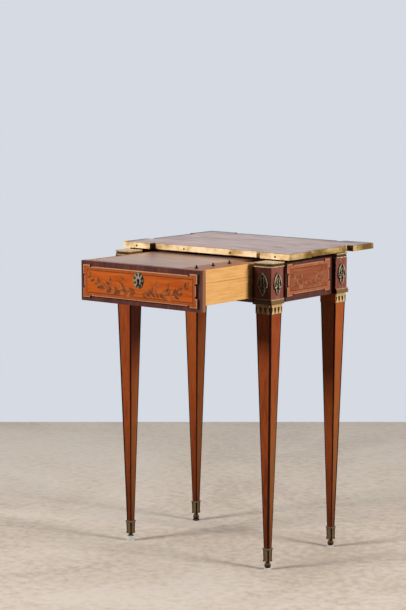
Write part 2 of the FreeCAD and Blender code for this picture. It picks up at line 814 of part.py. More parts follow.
def disc(name, diameter, low, high, side_x, side_y):
    """An upright cylinder on a leg's axis, between two levels."""
    piece = doc.addObject("Part::Cylinder", name)
    piece.setExpression("Radius", bound(f"({diameter}) / 2"))
    piece.setExpression("Height", bound(f"({high}) - ({low})"))
    place(piece, f"{side_x} * half_x", f"{side_y} * half_y", low)
    return piece


# Glides under the balls: three of plastic, the front left one a taller cup that takes the ball in, and
# one of leather under the back left leg.
plastic = []
for corner, side_x, side_y, turn in CORNERS:
    if corner == "front_left":
        block = disc("pad_block", "pad_diameter", "0", "pad_height", side_x, side_y)
        seat_size = "ball_diameter + 2 * pad_clearance"
        seat = disc("pad_seat", seat_size, "glide_height", "pad_height", side_x, side_y)
        plastic.append(cut("pad_cup", block, seat))
    elif corner == "back_left":
        keep("leather_glide", disc("leather_glide", "glide_diameter", "0", "glide_height", side_x, side_y))
    else:
        plastic.append(disc(f"glide_{corner}", "glide_diameter", "0", "glide_height", side_x, side_y))
group("plastic_glides", plastic)

# Sliding top: a board cut to the eared outline and a brass edging round it.
ears = (v("top_ear_x"), v("top_ear_y"), v("top_ear_step"), v("top_bite"))
half_top = (v("top_half_x"), v("top_half_y"))
board = new_body("top_board")
plan = sketch(board, "Plan", "XY_Plane", "0", [eared_loop(*half_top, *ears, v("edging_thickness"))])
pad(board, "Board", plan, "top_thickness")
# the lock's bolt enters this mortise when drawer and top are closed
cut_box(
    board,
    "BoltMortise",
    ("-bolt_width / 2 - mortise_clearance", "bolt_width / 2 + mortise_clearance"),
    ("mortise_y0", "mortise_y0 + bolt_thickness + 2 * mortise_clearance"),
    ("0", "mortise_depth"),
)
place(board, "0", "top_back", "top_low")
keep("top_board", board)

edging = new_body("top_edging")
outer = eared_loop(*half_top, *ears)
inner = eared_loop(*half_top, *ears, v("edging_thickness"))
rim = sketch(edging, "Plan", "XY_Plane", "0", [outer, inner])
pad(edging, "Band", rim, "top_thickness")
place(edging, "0", "top_back", "top_low")
keep("top_edging", edging)

# Battens under the top carry tongues that run below the keepers.
batten_y = ("batten_y0", "batten_y0 + batten_length")
for side, sign in SIDES:
    batten_x = mirrored("batten_x0", "batten_x1", sign)
    tongue_x = mirrored("batten_x1", "tongue_x1", sign)
    box(f"top_batten_{side}", batten_x, batten_y, ("batten_low", "top_low"))
    box(f"top_tongue_{side}", tongue_x, batten_y, ("tongue_low", "tongue_top"))

# Drawer carcase.
front_x = ("-front_half", "front_half")
front_z = ("apron_low", "front_high")
box("drawer_front_facing", front_x, ("drawer_y", "core_y0"), front_z)
core = raw_box("core_board", front_x, ("core_y0", "core_y1"), front_z)
lock_x = ("-lock_width / 2", "lock_width / 2")
pocket = raw_box("lock_pocket", lock_x, ("core_y1 - lock_depth", "core_y1"), ("lock_low", "front_high"))
keep("drawer_front_core", cut("drawer_front_core", core, pocket))
for side, sign in SIDES:
    side_x = mirrored("side_in", "side_out", sign)
    box(f"drawer_side_{side}", side_x, ("core_y1", "drawer_end"), ("side_low", "front_high"))
inside_x = ("-side_in", "side_in")
box("drawer_back", inside_x, ("back_y", "drawer_end"), ("side_low", "board_low - lid_clearance"))
box("drawer_bottom", inside_x, ("core_y1", "back_y"), ("bottom_low", "bottom_high"))
box("compartment_divider", ("divider_x0", "divider_x1"), ("core_y1", "back_y"), ("bottom_high", "board_low"))
box(
    "board_cleat",
    ("-side_in", "cleat_width - side_in"),
    ("core_y1", "back_y"),
    ("board_low - cleat_height", "board_low"),
)
partitions = []
for count in (1, 2, 3):
    middle = f"lids_y + {count} * lid_pitch - lid_clearance / 2"
    partitions.append(
        raw_box(
            f"partition_{count}",
            ("divider_x1", "side_in"),
            (f"{middle} - partition_thickness / 2", f"{middle} + partition_thickness / 2"),
            ("bottom_high", "board_low"),
        )
    )
group("compartment_partitions", partitions)
board_z = ("board_low", "board_high")
box("writing_board", ("lid_clearance - side_in", "lid_x0 - lid_clearance"), ("lids_y", "drawer_end"), board_z)
box("compartment_cover", ("lid_x0", "lid_x1"), ("lids_y + 3 * lid_pitch", "drawer_end"), board_z)

# Lids of the three compartments, each lifted by a turned knob: a spreading foot, a waist and a bud.
# The knobs stand further forward on their lids towards the front.
for count, place_name in enumerate(("front", "middle", "back")):
    low_y = f"lids_y + {count} * lid_pitch"
    box(f"lid_{place_name}", ("lid_x0", "lid_x1"), (low_y, f"{low_y} + lid_length"), board_z)
    knob = new_body(f"lid_knob_{place_name}")
    base_r, waist_r, tip_r = v("knob_base") / 2, v("knob_waist") / 2, v("knob_tip") / 2
    tip_top = v("knob_height")
    waist_z = tip_top - 2 * tip_r
    profile = [(0, 0), (base_r, 0), (waist_r, waist_z), (tip_r, tip_top), (0, tip_top)]
    revolve(knob, "Knob", lines(profile))
    knob_y = f"{low_y} + lid_length / 2 - {2 - count} * knob_step"
    place(knob, "(lid_x0 + lid_x1) / 2", knob_y, "board_high")
    keep(f"lid_knob_{place_name}", knob)

# Lock: a case let into the back of the drawer front, with a bolt that rises into the top.
case = new_body("lock_case")
half_w, half_d = v("lock_width") / 2, v("lock_depth") / 2
rim = lines([(-half_w, -half_d), (half_w, -half_d), (half_w, half_d), (-half_w, half_d)])
plan = sketch(case, "Plan", "XY_Plane", "0", [rim])
pad(case, "Case", plan, "lock_height")
cut_box(
    case,
    "BoltWell",
    ("-bolt_width / 2 - bolt_clearance", "bolt_width / 2 + bolt_clearance"),
    ("-bolt_thickness / 2 - bolt_clearance", "bolt_thickness / 2 + bolt_clearance"),
    ("lock_height - bolt_well", "lock_height"),
)
place(case, "0", "bolt_y", "lock_low")
keep("lock_case", case)
box(
    "lock_bolt",
    ("-bolt_width / 2", "bolt_width / 2"),
    ("bolt_y - bolt_thickness / 2", "bolt_y + bolt_thickness / 2"),
    ("front_high - bolt_length", "front_high"),
)

# Escutcheon: a lobed oval plate, pierced by the keyhole and a window on each side of it.
LOBES = 8
LOBE_FOOT = 0.86
LOBE_CHORDS = 6
plate = new_body("escutcheon")
plate_w, plate_h = v("escutcheon_width") / 2, v("escutcheon_height") / 2


def on_oval(steps, reach):
    angle = math.pi * steps / LOBES
    return plate_w * reach * math.sin(angle), plate_h * reach * math.cos(angle)


feet = [on_oval(2 * i - 1, LOBE_FOOT) for i in range(LOBES)]
crowns = [on_oval(2 * i, 1) for i in range(LOBES)]
key_r = v("keyhole_width") / 2
slot = key_r * math.sqrt(0.5)
slot_end = v("keyhole_length") - key_r
throat = [Vector(-slot, -slot, 0), Vector(slot, -slot, 0)]
foot = [Vector(-slot, -slot_end, 0), Vector(slot, -slot_end, 0)]
keyhole = [
    Part.Arc(throat[0], Vector(0, key_r, 0), throat[1]),
    Part.LineSegment(throat[1], foot[1]),
    Part.LineSegment(foot[1], foot[0]),
    Part.LineSegment(foot[0], throat[0]),
]
window = [(0.42, 0.36), (0.70, 0.06), (0.42, -0.46)]
windows = [lines([(x * plate_w * flip, y * plate_h) for x, y in window]) for flip in (-1, 1)]
drawn = sketch(plate, "Openwork", "XZ_Plane", "0", [arcs(feet, crowns, LOBE_CHORDS), keyhole] + windows)
pad(plate, "Plate", drawn, "escutcheon_thickness")
place(plate, "0", "panel_face_y", "escutcheon_z")
keep("escutcheon", plate)

doc.recompute()
faults = [o.Label for o in doc.Objects if "Invalid" in o.State or "Error" in o.State]
for label, piece in nodes.items():
    if piece.Shape.isNull() or not piece.Shape.isValid() or not piece.Shape.Solids:
        faults.append(label)
if faults:
    raise RuntimeError(f"pieces that failed to build: {faults}")

os.makedirs("parts", exist_ok=True)
for label, piece in nodes.items():
    piece.Shape.exportStep(os.path.join("parts", f"{label}.step"))
print(len(nodes), "nodes,", sum(len(p.Shape.Solids) for p in nodes.values()), "solids")
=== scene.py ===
import json
import math

import bmesh
import bpy
import numpy as np
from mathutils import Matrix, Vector


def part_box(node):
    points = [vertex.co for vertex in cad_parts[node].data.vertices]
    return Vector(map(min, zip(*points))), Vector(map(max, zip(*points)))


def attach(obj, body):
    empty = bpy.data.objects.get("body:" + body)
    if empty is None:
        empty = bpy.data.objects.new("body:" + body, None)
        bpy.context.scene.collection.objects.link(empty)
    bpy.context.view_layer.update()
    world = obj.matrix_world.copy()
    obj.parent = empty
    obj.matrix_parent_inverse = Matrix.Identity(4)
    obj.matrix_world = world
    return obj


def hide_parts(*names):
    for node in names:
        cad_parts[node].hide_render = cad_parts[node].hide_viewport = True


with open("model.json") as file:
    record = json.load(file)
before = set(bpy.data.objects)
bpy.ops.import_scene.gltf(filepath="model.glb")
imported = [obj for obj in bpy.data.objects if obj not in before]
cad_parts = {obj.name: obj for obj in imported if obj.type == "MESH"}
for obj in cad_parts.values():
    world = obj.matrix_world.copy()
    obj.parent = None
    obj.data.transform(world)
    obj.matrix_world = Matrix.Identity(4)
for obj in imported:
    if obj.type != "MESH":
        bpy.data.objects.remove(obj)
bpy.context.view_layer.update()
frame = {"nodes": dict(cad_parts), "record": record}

# Small writing table with a sliding top, an open drawer, marquetry panels and gilt bronze mounts.
# Metres, +X right along the front, +Y to the back, +Z up. Ornament is drawn in millimetres on the face
# that carries it: u along the face, v up, w out of it.

MM = 0.001


def middle_of(node):
    """The middle of a node's box."""
    low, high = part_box(node)
    return (low + high) / 2


LEG_X = middle_of("leg_front_right").x
LEG_Y = (middle_of("leg_back_right").y - middle_of("leg_front_right").y) / 2
MIDDLE_Y = (middle_of("leg_back_right").y + middle_of("leg_front_right").y) / 2
LEG_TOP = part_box("post_base_mouldings")[0].z
DRAWER_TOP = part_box("drawer_front_core")[1].z
LEG_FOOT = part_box("leg_front_right")[0].z
SHAFT_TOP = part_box("leg_capitals")[0].z
SHOE_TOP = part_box("sabots")[1].z
SHOE_HEIGHT = 31.2 * MM
SHOE_LOW = SHOE_TOP - SHOE_HEIGHT
CAP_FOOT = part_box("post_cap_front_right")[0].z
# Half widths in millimetres of the posts, the blocks under them, and the legs at foot and head.
POST_HALF = 23.0
BLOCK_HALF = 21.5
LEG_FOOT_HALF = 5.85
LEG_HEAD_HALF = 20.5
# Eared outlines in millimetres: how far they step in between their ears, and the size of the ears.
TOP_STEP, TOP_EARS = 9.0, (83.0, 87.0)
PANEL_STEP, PANEL_EARS = 3.5, (20.5, 21.0)


# Materials

def colour(code):
    """Linear colour of an sRGB hex value."""
    part = np.array([int(code[i:i + 2], 16) for i in (1, 3, 5)]) / 255
    linear = np.where(part <= 0.04045, part / 12.92, ((part + 0.055) / 1.055) ** 2.4)
    return (*linear.tolist(), 1.0)


def add(tree, kind, links=None, stops=None, **settings):
    """One node: settings are its properties, links its inputs (values or outputs), stops a ramp's colours."""
    node = tree.nodes.new("ShaderNode" + kind)
    for name, value in settings.items():
        setattr(node, name, value)
    for name, value in (links or {}).items():
        if isinstance(value, bpy.types.NodeSocket):
            tree.links.new(value, node.inputs[name])
        else:
            node.inputs[name].default_value = value
    for count, (place, code) in enumerate(stops or []):
        ramp = node.color_ramp.elements
        stop = ramp[count] if count < 2 else ramp.new(place)
        stop.position = place
        stop.color = colour(code)
    return node


def maths(tree, operation, *values):
    """The output of an arithmetic node."""
    return add(tree, "Math", dict(enumerate(values)), operation=operation).outputs[0]


def ranged(tree, value, start=0.0, stop=1.0, low=0.0, high=1.0):
    """A value's run from start to stop as a run from low to high, held there beyond its ends."""
    return add(tree, "MapRange", {0: value, 1: start, 2: stop, 3: low, 4: high}).outputs[0]


def new_finish(name):
    """An empty material's tree."""
    finish = bpy.data.materials.new(name)
    finish.use_nodes = True
    finish.node_tree.nodes.clear()
    return finish, finish.node_tree


def surface(tree, **sockets):
    """Ends a tree in a principled surface; underscores stand for the spaces in its socket names."""
    links = {name.replace("_", " "): value for name, value in sockets.items()}
    shader = add(tree, "BsdfPrincipled", links)
    add(tree, "OutputMaterial", {"Surface": shader.outputs["BSDF"]})


def axis_place(tree, centre):
    """Object coordinates from a centre, in millimetres, apart along X, Y and Z."""
    where = add(tree, "TexCoord").outputs["Object"]
    moved = add(tree, "VectorMath", {0: where, 1: centre}, operation="SUBTRACT").outputs[0]
    sized = add(tree, "VectorMath", {0: moved, "Scale": 1 / MM}, operation="SCALE").outputs[0]
    return add(tree, "SeparateXYZ", {0: sized}).outputs


def grained(tree, along, tones, streak=1.6, length=90.0, figure=22.0, share=0.55):
    """Wood: fine streaks of one width and length along the grain over a broader figure, in millimetres.

    Two noises stretched along the grain are added by share, and a ramp turns the sum to tones.
    Gives the colour and the streaks' strength.
    """
    where = add(tree, "TexCoord").outputs["Object"]
    layers = []
    for across, run, wander in ((streak, length, 0.3), (figure, figure * 6, 1.4)):
        scale = [1 / (across * MM)] * 3
        scale["XYZ".index(along)] = 1 / (run * MM)
        stretched = add(tree, "Mapping", {"Vector": where, "Scale": scale})
        noise = add(
            tree, "TexNoise",
            {"Vector": stretched.outputs[0], "Scale": 1.0, "Detail": 4.0, "Distortion": wander},
        )
        layers.append(noise.outputs[0])
    fine = maths(tree, "MULTIPLY", layers[0], 1 - share)
    both = maths(tree, "MULTIPLY_ADD", layers[1], share, fine)
    places = np.linspace(0.34, 0.66, len(tones))
    ramp = add(tree, "ValToRGB", {0: both}, stops=list(zip(places.tolist(), tones)))
    return ramp.outputs[0], layers[0]


def polished(tree, tint, streaks, rough=0.36, depth=0.03, shine=0.2, coat=0.0):
    """Polish over wood: the streaks dull it slightly and press into it by depth in millimetres.

    Shine is how strongly the old wax mirrors, coat the share of clear varnish over it.
    """
    dull = ranged(tree, streaks, low=rough - 0.06, high=rough + 0.10)
    relief = add(tree, "Bump", {"Height": streaks, "Distance": depth * MM, "Strength": 0.6})
    surface(
        tree, Base_Color=tint, Roughness=dull, Normal=relief.outputs[0], Specular_IOR_Level=shine,
        Coat_Weight=coat, Coat_Roughness=0.18,
    )


def blended(tree, factor, low, high):
    """Colour low where the factor is 0 and high where it is 1."""
    mix = add(tree, "Mix", {0: factor, 6: low, 7: high}, data_type="RGBA")
    return mix.outputs[2]


def chosen(tree, value, least, most):
    """1 where a value lies between two limits, else 0."""
    above = maths(tree, "GREATER_THAN", value, least)
    below = maths(tree, "LESS_THAN", value, most)
    return maths(tree, "MULTIPLY", above, below)


def outside(tree, spans, halves):
    """How far a point lies outside a rectangle, in millimetres: the larger of |u| - half and |v| - half."""
    gaps = []
    for span, half in zip(spans, halves):
        size = maths(tree, "ABSOLUTE", span)
        gaps.append(maths(tree, "SUBTRACT", size, half))
    return maths(tree, "MAXIMUM", gaps[0], gaps[1])


def eared(tree, spans, halves, step, ears):
    """How far a point lies outside an eared outline: the lesser of those outside its body and its ears."""
    body = outside(tree, spans, [half - step for half in halves])
    ear_halves = [ear / 2 for ear in ears]
    corners = []
    for span, half, ear_half in zip(spans, halves, ear_halves):
        folded = maths(tree, "ABSOLUTE", span)
        corners.append(maths(tree, "SUBTRACT", folded, half - ear_half))
    return maths(tree, "MINIMUM", body, outside(tree, corners, ear_halves))


def shade_to_front(tree, tint, share, dirt):
    """Painted shade, of the colour dirt, over a share of a tint where the surface looks to the front."""
    facing = add(tree, "SeparateXYZ", {0: add(tree, "TexCoord").outputs["Normal"]}).outputs[1]
    cover = ranged(tree, facing, -0.4, -0.7, 0.0, share)
    return blended(tree, cover, tint, colour(dirt))


def plain_wood(name, along, tones, rough=0.36, shine=0.2, coat=0.0, **figure):
    """Wood of one kind all over: grain along an axis, in tones, under polish."""
    finish, tree = new_finish(name)
    tint, streaks = grained(tree, along, tones, **figure)
    polished(tree, tint, streaks, rough, shine=shine, coat=coat)
    return finish


def off_axis(tree, place):
    """How far out from the nearest leg's axis a point lies along X and along Y, in millimetres."""
    return [
        maths(tree, "SUBTRACT", maths(tree, "ABSOLUTE", span), axis / MM)
        for span, axis in ((place[0], LEG_X), (place[1], LEG_Y))
    ]


def leg_veneer():
    """Tulipwood on the legs, orange brown with upright streaks, darkening to the feet and along the arrises.

    The posts are redder, with painted shade, almost black, on their faces to the front; the back legs are
    lighter above, and faces to the right have painted light below. The outer arris is where both distances
    from the leg's axis come near its half width, which grows evenly from foot to head.
    """
    finish, tree = new_finish("tulipwood_veneer")
    shaft, streaks = grained(tree, "Z", ["#7C3410", "#964218", "#AC5224", "#883C14"], 1.4, 140.0, 12.0)
    post, _ = grained(tree, "Z", ["#6C382C", "#8E5042", "#A06458"], 1.4, 60.0, 14.0)
    place = axis_place(tree, (0, MIDDLE_Y, LEG_FOOT))
    length = (SHAFT_TOP - LEG_FOOT) / MM
    low = ranged(tree, place[2], length * 0.5, 0.0, 0.0, 0.8)
    shaft = blended(tree, low, shaft, colour("#4C1E12"))
    upper = ranged(tree, place[2], length * 0.4, length * 0.9, 0.0, 0.5)
    behind = maths(tree, "GREATER_THAN", place[1], 0.0)
    shaft = blended(tree, maths(tree, "MULTIPLY", upper, behind), shaft, colour("#C26428"))
    # Painted light: faces to the right turn lighter and yellower in their lower part.
    normal = add(tree, "NewGeometry").outputs["Normal"]
    to_right = maths(tree, "GREATER_THAN", add(tree, "SeparateXYZ", {0: normal}).outputs[0], 0.5)
    lower = ranged(tree, place[2], length * 0.85, length * 0.4, 0.0, 0.4)
    faded = ranged(tree, place[2], 0.0, length * 0.25, 0.1, 1.0)
    painted_light_right = maths(tree, "MULTIPLY", maths(tree, "MULTIPLY", lower, to_right), faded)
    shaft = blended(tree, painted_light_right, shaft, colour("#A06E36"))
    least = maths(tree, "MINIMUM", *off_axis(tree, place))
    arris = 4.0
    inner = ranged(tree, place[2], 0.0, length, LEG_FOOT_HALF - arris, LEG_HEAD_HALF - arris)
    shaft = blended(tree, maths(tree, "GREATER_THAN", least, inner), shaft, colour("#280802"))
    # Painted shade, almost black, on the posts' faces to the front.
    post = shade_to_front(tree, post, 0.85, "#2C0E08")
    on_post = maths(tree, "GREATER_THAN", place[2], (LEG_TOP - LEG_FOOT) / MM)
    polished(tree, blended(tree, on_post, shaft, post), streaks, 0.38, shine=0.1)
    return finish


def apron_veneer(name, node, across):
    """Amaranth on an apron, purple brown, with painted shade under the top's edge and against the posts.

    The painted shade sits off the apron's middle by a shift, so that there is more of it against one post.
    """
    low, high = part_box(node)
    centre, half = (low + high) / 2, (high - low) / 2 / MM
    finish, tree = new_finish(name)
    tint, streaks = grained(tree, "Z", GROUND_TONES, 1.0)
    shift = Vector((5, 5, 0))
    place = axis_place(tree, centre + shift * MM)
    post_edge = (LEG_Y if across else LEG_X) / MM - POST_HALF
    aside = maths(tree, "ABSOLUTE", place[across])
    # Painted shade against the posts and under the top's edge.
    at_post = ranged(tree, aside, post_edge - 15.0, post_edge - 12.0)
    at_top = ranged(tree, place[2], half[2] - 10.0, half[2] - 8.0)
    painted_shade = maths(tree, "MAXIMUM", at_post, at_top)
    wax = ranged(tree, painted_shade, low=0.15, high=0.02)
    polished(tree, blended(tree, painted_shade, tint, colour("#140806")), streaks, shine=wax)
    return finish


def facing_veneer():
    """Amaranth on the drawer front, with a painted shadow of the panel along its foot and its right side.

    The painted shadow fills the panel's outline, made larger by a margin and moved by a shift.
    """
    low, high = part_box("drawer_front_panel")
    half = (high - low) / 2 / MM
    finish, tree = new_finish("drawer_amaranth")
    tint, streaks = grained(tree, "Z", GROUND_TONES, 1.0)
    margin, ears, shift = (2.6, 1.2), (23.0, 22.2), Vector((2.4, 0, -1.2))
    place = axis_place(tree, (low + high) / 2 + shift * MM)
    halves = (half[0] + margin[0], half[2] + margin[1])
    # Painted shadow that the raised panel casts down and to the right.
    past = eared(tree, (place[0], place[2]), halves, PANEL_STEP, ears)
    painted_shade = ranged(tree, past, 0.4, -0.6)
    polished(tree, blended(tree, painted_shade, tint, colour("#1C0A08")), streaks, shine=0.15)
    return finish


def panel_veneer(name, node, across, field_tones, band_tones, string):
    """An eared panel: veneered field, dark line, cross-banding, a pale string along its edge, black walls.

    It runs along X or Y, as across says with 0 or 1, and so does its grain. The distance outside the field's
    rectangle picks line and band; the distance outside the eared outline, the lesser of those outside its
    body and its ears, picks the string. What lies deeper below the face than the chamfer is coloured black.
    """
    low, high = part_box(node)
    centre, half = (low + high) / 2, (high - low) / 2 / MM
    finish, tree = new_finish(name)
    place = axis_place(tree, centre)
    spans = (place[across], place[2])
    half_u, half_v = half[across], half[2]
    field, streaks = grained(tree, "XY"[across], field_tones, 1.2, 70.0, 16.0)
    band, _ = grained(tree, "Z", band_tones, 1.0, 40.0, 9.0)
    band_width = 11.5
    past_field = outside(tree, spans, (half_u - band_width, half_v - band_width))
    in_band = maths(tree, "GREATER_THAN", past_field, 0.0)
    tint = blended(tree, in_band, field, band)
    dark_line = chosen(tree, past_field, -0.9, 0.3)
    tint = blended(tree, dark_line, tint, colour("#4A2010"))
    past_edge = eared(tree, spans, (half_u, half_v), PANEL_STEP, PANEL_EARS)
    string_width, chamfer = 2.0, 0.9
    on_edge = maths(tree, "GREATER_THAN", past_edge, -string_width)
    tint = blended(tree, on_edge, tint, colour(string))
    wall = half[1 - across] - chamfer
    tint = blended(tree, chosen(tree, place[1 - across], -wall, wall), tint, colour("#160A06"))
    polished(tree, tint, streaks, 0.34, shine=0.15)
    return finish


def along_arris(tree, reach):
    """1 at the corners round each leg, where both distances from its axis pass a reach in millimetres."""
    gaps = [maths(tree, "ABSOLUTE", gap) for gap in off_axis(tree, axis_place(tree, (0, MIDDLE_Y, 0)))]
    return maths(tree, "GREATER_THAN", maths(tree, "MINIMUM", *gaps), reach)


def metal(name, bright, dull, rough=0.34, patch=6.0, pit=0.05, bare=1.0, hollows=(), front=0.0, arris=None,
          shine=0.5):
    """Cast or drawn metal: cloudy tarnish in patches of a size in millimetres, and fine pitting.

    Bare is the share of metal that shows through dirt. Each hollow gives two levels in metres and the tint
    between them: tarnish on the sabots, the plate's own brown on the bases, tarnish and painted shade in the
    caps' cove; it is black at the corners past the arris's reach. Front is the share of painted shade on what
    looks to the front.
    """
    finish, tree = new_finish(name)
    where = add(tree, "TexCoord").outputs["Object"]
    cloud = add(tree, "TexNoise", {"Vector": where, "Scale": 1 / (patch * MM), "Detail": 5.0}).outputs[0]
    tint = add(tree, "ValToRGB", {0: cloud}, stops=[(0.32, dull), (0.62, bright)]).outputs[0]
    for low, high, tarnish in hollows:
        height = axis_place(tree, (0, 0, low))[2]
        dirt = colour(tarnish)
        if arris:
            dirt = blended(tree, along_arris(tree, arris), dirt, colour("#0A0401"))
        tint = blended(tree, chosen(tree, height, 0.0, (high - low) / MM), tint, dirt)
    if front:
        # Painted shade on faces that look to the front.
        tint = shade_to_front(tree, tint, front, "#1E1108")
    grit = add(tree, "TexNoise", {"Vector": where, "Scale": 1 / (0.8 * MM), "Detail": 3.0}).outputs[0]
    dim = ranged(tree, cloud, low=rough + 0.14, high=rough - 0.08)
    relief = add(tree, "Bump", {"Height": grit, "Distance": pit * MM, "Strength": 0.5})
    surface(tree, Base_Color=tint, Metallic=bare, Roughness=dim, Normal=relief.outputs[0],
            Specular_IOR_Level=shine)
    return finish


def gilt_cast(name, bright, dull, rough, bare, front):
    """Chased gilt bronze, mostly worn to dirt: gold on what stands out, dark tarnish in the hollows.

    The height attribute tells one from the other, bare is the share of metal that still shows, and front the
    share of painted shade on what looks to the front.
    """
    finish, tree = new_finish(name)
    where = add(tree, "TexCoord").outputs["Object"]
    cloud = add(tree, "TexNoise", {"Vector": where, "Scale": 1 / (4.0 * MM), "Detail": 4.0}).outputs[0]
    height = add(tree, "Attribute", attribute_name="height").outputs["Fac"]
    worn = maths(tree, "MULTIPLY_ADD", cloud, 0.5, height)
    tint = add(tree, "ValToRGB", {0: worn}, stops=[(0.30, dull), (0.85, bright)]).outputs[0]
    # Painted shade on faces that look to the front.
    tint = shade_to_front(tree, tint, front, dull)
    dim = ranged(tree, worn, low=rough + 0.25, high=rough - 0.04)
    surface(tree, Base_Color=tint, Metallic=bare, Roughness=dim, Specular_IOR_Level=0.15)
    return finish


def edging_brass():
    """Brass strip round the top: brushed lengthwise and dark in its joints.

    Painted light makes it pale on the front and golder down the sides; its upper rim and the bites beside the
    ears carry painted shade.
    """
    finish, tree = new_finish("brass_edging")
    low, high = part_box("top_edging")
    centre, half = (low + high) / 2, (high - low) / 2 / MM
    where = add(tree, "TexCoord").outputs["Object"]
    run, stroke = 40.0, 0.625
    scale = (1 / (run * MM), 1 / (run * MM), 1 / (stroke * MM))
    brushed = add(tree, "Mapping", {"Vector": where, "Scale": scale}).outputs[0]
    lines = add(tree, "TexNoise", {"Vector": brushed, "Scale": 1.0, "Detail": 3.0}).outputs[0]
    cloud = add(tree, "TexNoise", {"Vector": where, "Scale": 1 / (46 * MM), "Detail": 4.0}).outputs[0]
    mixed = maths(tree, "MULTIPLY_ADD", lines, 0.3, cloud)
    pale = add(tree, "ValToRGB", {0: mixed}, stops=[(0.50, "#B08A50"), (0.62, "#DABE92"), (0.76, "#E8D2AE")])
    gold = add(tree, "ValToRGB", {0: mixed}, stops=[(0.54, "#785C2E"), (0.65, "#AC8C52"), (0.76, "#D2B684")])
    place = axis_place(tree, centre)
    # Painted light: faces to the front stay pale, faces to the sides are golder.
    facing = add(tree, "SeparateXYZ", {0: add(tree, "TexCoord").outputs["Normal"]}).outputs[0]
    turned_aside = maths(tree, "ABSOLUTE", facing)
    shaded_side = maths(tree, "GREATER_THAN", turned_aside, 0.5)
    tint = blended(tree, shaded_side, pale.outputs[0], gold.outputs[0])
    # Dark joints, widened into painted shade over the bites beside the ears.
    for span, edge, ear, bite in zip(place[:2], half[:2], TOP_EARS, (4.5, 3.0)):
        folded = maths(tree, "ABSOLUTE", span)
        joint_and_bite_shade = chosen(tree, folded, edge - ear - bite, edge - ear + 0.4)
        tint = blended(tree, joint_and_bite_shade, tint, colour("#3A2610"))
    # Painted shade on the upper rim, dull and not metallic.
    shaded_rim = maths(tree, "GREATER_THAN", place[2], half[2] - 0.05)
    tint = blended(tree, shaded_rim, tint, colour("#4A3A2C"))
    bare = ranged(tree, shaded_rim, low=1.0, high=0.0)
    dim = ranged(tree, mixed, low=0.72, high=0.56)
    surface(tree, Base_Color=tint, Metallic=bare, Roughness=dim, Specular_IOR_Level=0.2)
    return finish


def top_veneer():
    """Old tulipwood on the top, faded to a mauve grey brown, with long streaks and a margin of painted shade.

    The margin follows the eared edge, and is widest at the back and on the left; the right end is duller.
    """
    finish, tree = new_finish("faded_tulipwood_top")
    low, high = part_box("top_board")
    centre, half = (low + high) / 2, (high - low) / 2 / MM
    tones = ["#5A423C", "#AC8A80", "#D6BCB2", "#6C5049"]
    tint, streaks = grained(tree, "X", tones, 2.6, 160.0, 34.0, 0.6)
    margin, shift = 8.0, Vector((3.5, -3.5, 0))
    place = axis_place(tree, centre + shift * MM)
    # Painted shade along the margin, widest at the back and on the left.
    border = eared(tree, place[:2], (half[0] - margin, half[1] - margin), TOP_STEP, TOP_EARS)
    dark = ranged(tree, border, -1.5, 1.5)
    aside = ranged(tree, place[0], 0.0, half[0], 0.0, 0.25)
    tint = blended(tree, aside, tint, colour("#7E6660"))
    tint = blended(tree, dark, tint, colour("#5A4844"))
    polished(tree, tint, streaks, 0.34, shine=0.22)
    return finish


def drawer_wood():
    """Plain pale drawer sides, honey coloured and barely polished, with the seam between two boards.

    Their upper edges wear the writing veneer, and the end grain of the front board is browner.
    """
    finish, tree = new_finish("drawer_oak")
    tint, streaks = grained(tree, "Y", ["#E6A254", "#F8B86E", "#FEC680"], 1.2, 80.0, 14.0, 0.4)
    low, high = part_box("drawer_side_right")
    place = axis_place(tree, (0, 0, DRAWER_TOP))
    seam, seam_half = (low.z - high.z) * 0.38 / MM, 0.4
    in_seam = chosen(tree, place[2], seam - seam_half, seam + seam_half)
    tint = blended(tree, in_seam, tint, colour("#9A6836"))
    upper = maths(tree, "GREATER_THAN", place[2], -0.05)
    tint = blended(tree, upper, tint, grained(tree, "Y", LID_TONES)[0])
    aside = maths(tree, "ABSOLUTE", place[0])
    front_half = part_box("drawer_front_core")[1].x / MM
    end = maths(tree, "GREATER_THAN", aside, front_half - 0.05)
    tint = blended(tree, end, tint, colour("#A06E48"))
    polished(tree, tint, streaks, 0.48)
    return finish


def cover_veneer():
    """Cross-cut veneer on the board behind the lids, with a narrow black patch of painted shade."""
    finish, tree = new_finish("cover_veneer_shade_patch")
    low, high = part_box("compartment_cover")
    tint, streaks = grained(tree, "Y", LID_TONES)
    # Painted shade: a narrow black patch on the cover.
    shift, halves = Vector((11.2, 8.8, 0)), (16.2, 24.0)
    place = axis_place(tree, (low + high) / 2 + shift * MM)
    shade_patch = ranged(tree, outside(tree, place[:2], halves), 0.0, -0.6)
    wax = ranged(tree, shade_patch, low=0.1, high=0.02)
    polished(tree, blended(tree, shade_patch, tint, colour("#0E0402")), streaks, shine=wax)
    return finish


def moulded(name, low, high, rough, patch, shine=0.5):
    """Plastic or leather: a mottled tint in patches of a size in millimetres, and a fine uneven skin."""
    finish, tree = new_finish(name)
    where = add(tree, "TexCoord").outputs["Object"]
    cloud = add(tree, "TexNoise", {"Vector": where, "Scale": 1 / (patch * MM), "Detail": 4.0}).outputs[0]
    tint = add(tree, "ValToRGB", {0: cloud}, stops=[(0.35, low), (0.65, high)]).outputs[0]
    dim = ranged(tree, cloud, low=rough - 0.06, high=rough + 0.08)
    relief = add(tree, "Bump", {"Height": cloud, "Distance": 0.1 * MM, "Strength": 0.4})
    surface(tree, Base_Color=tint, Roughness=dim, Normal=relief.outputs[0], Specular_IOR_Level=shine)
    return finish


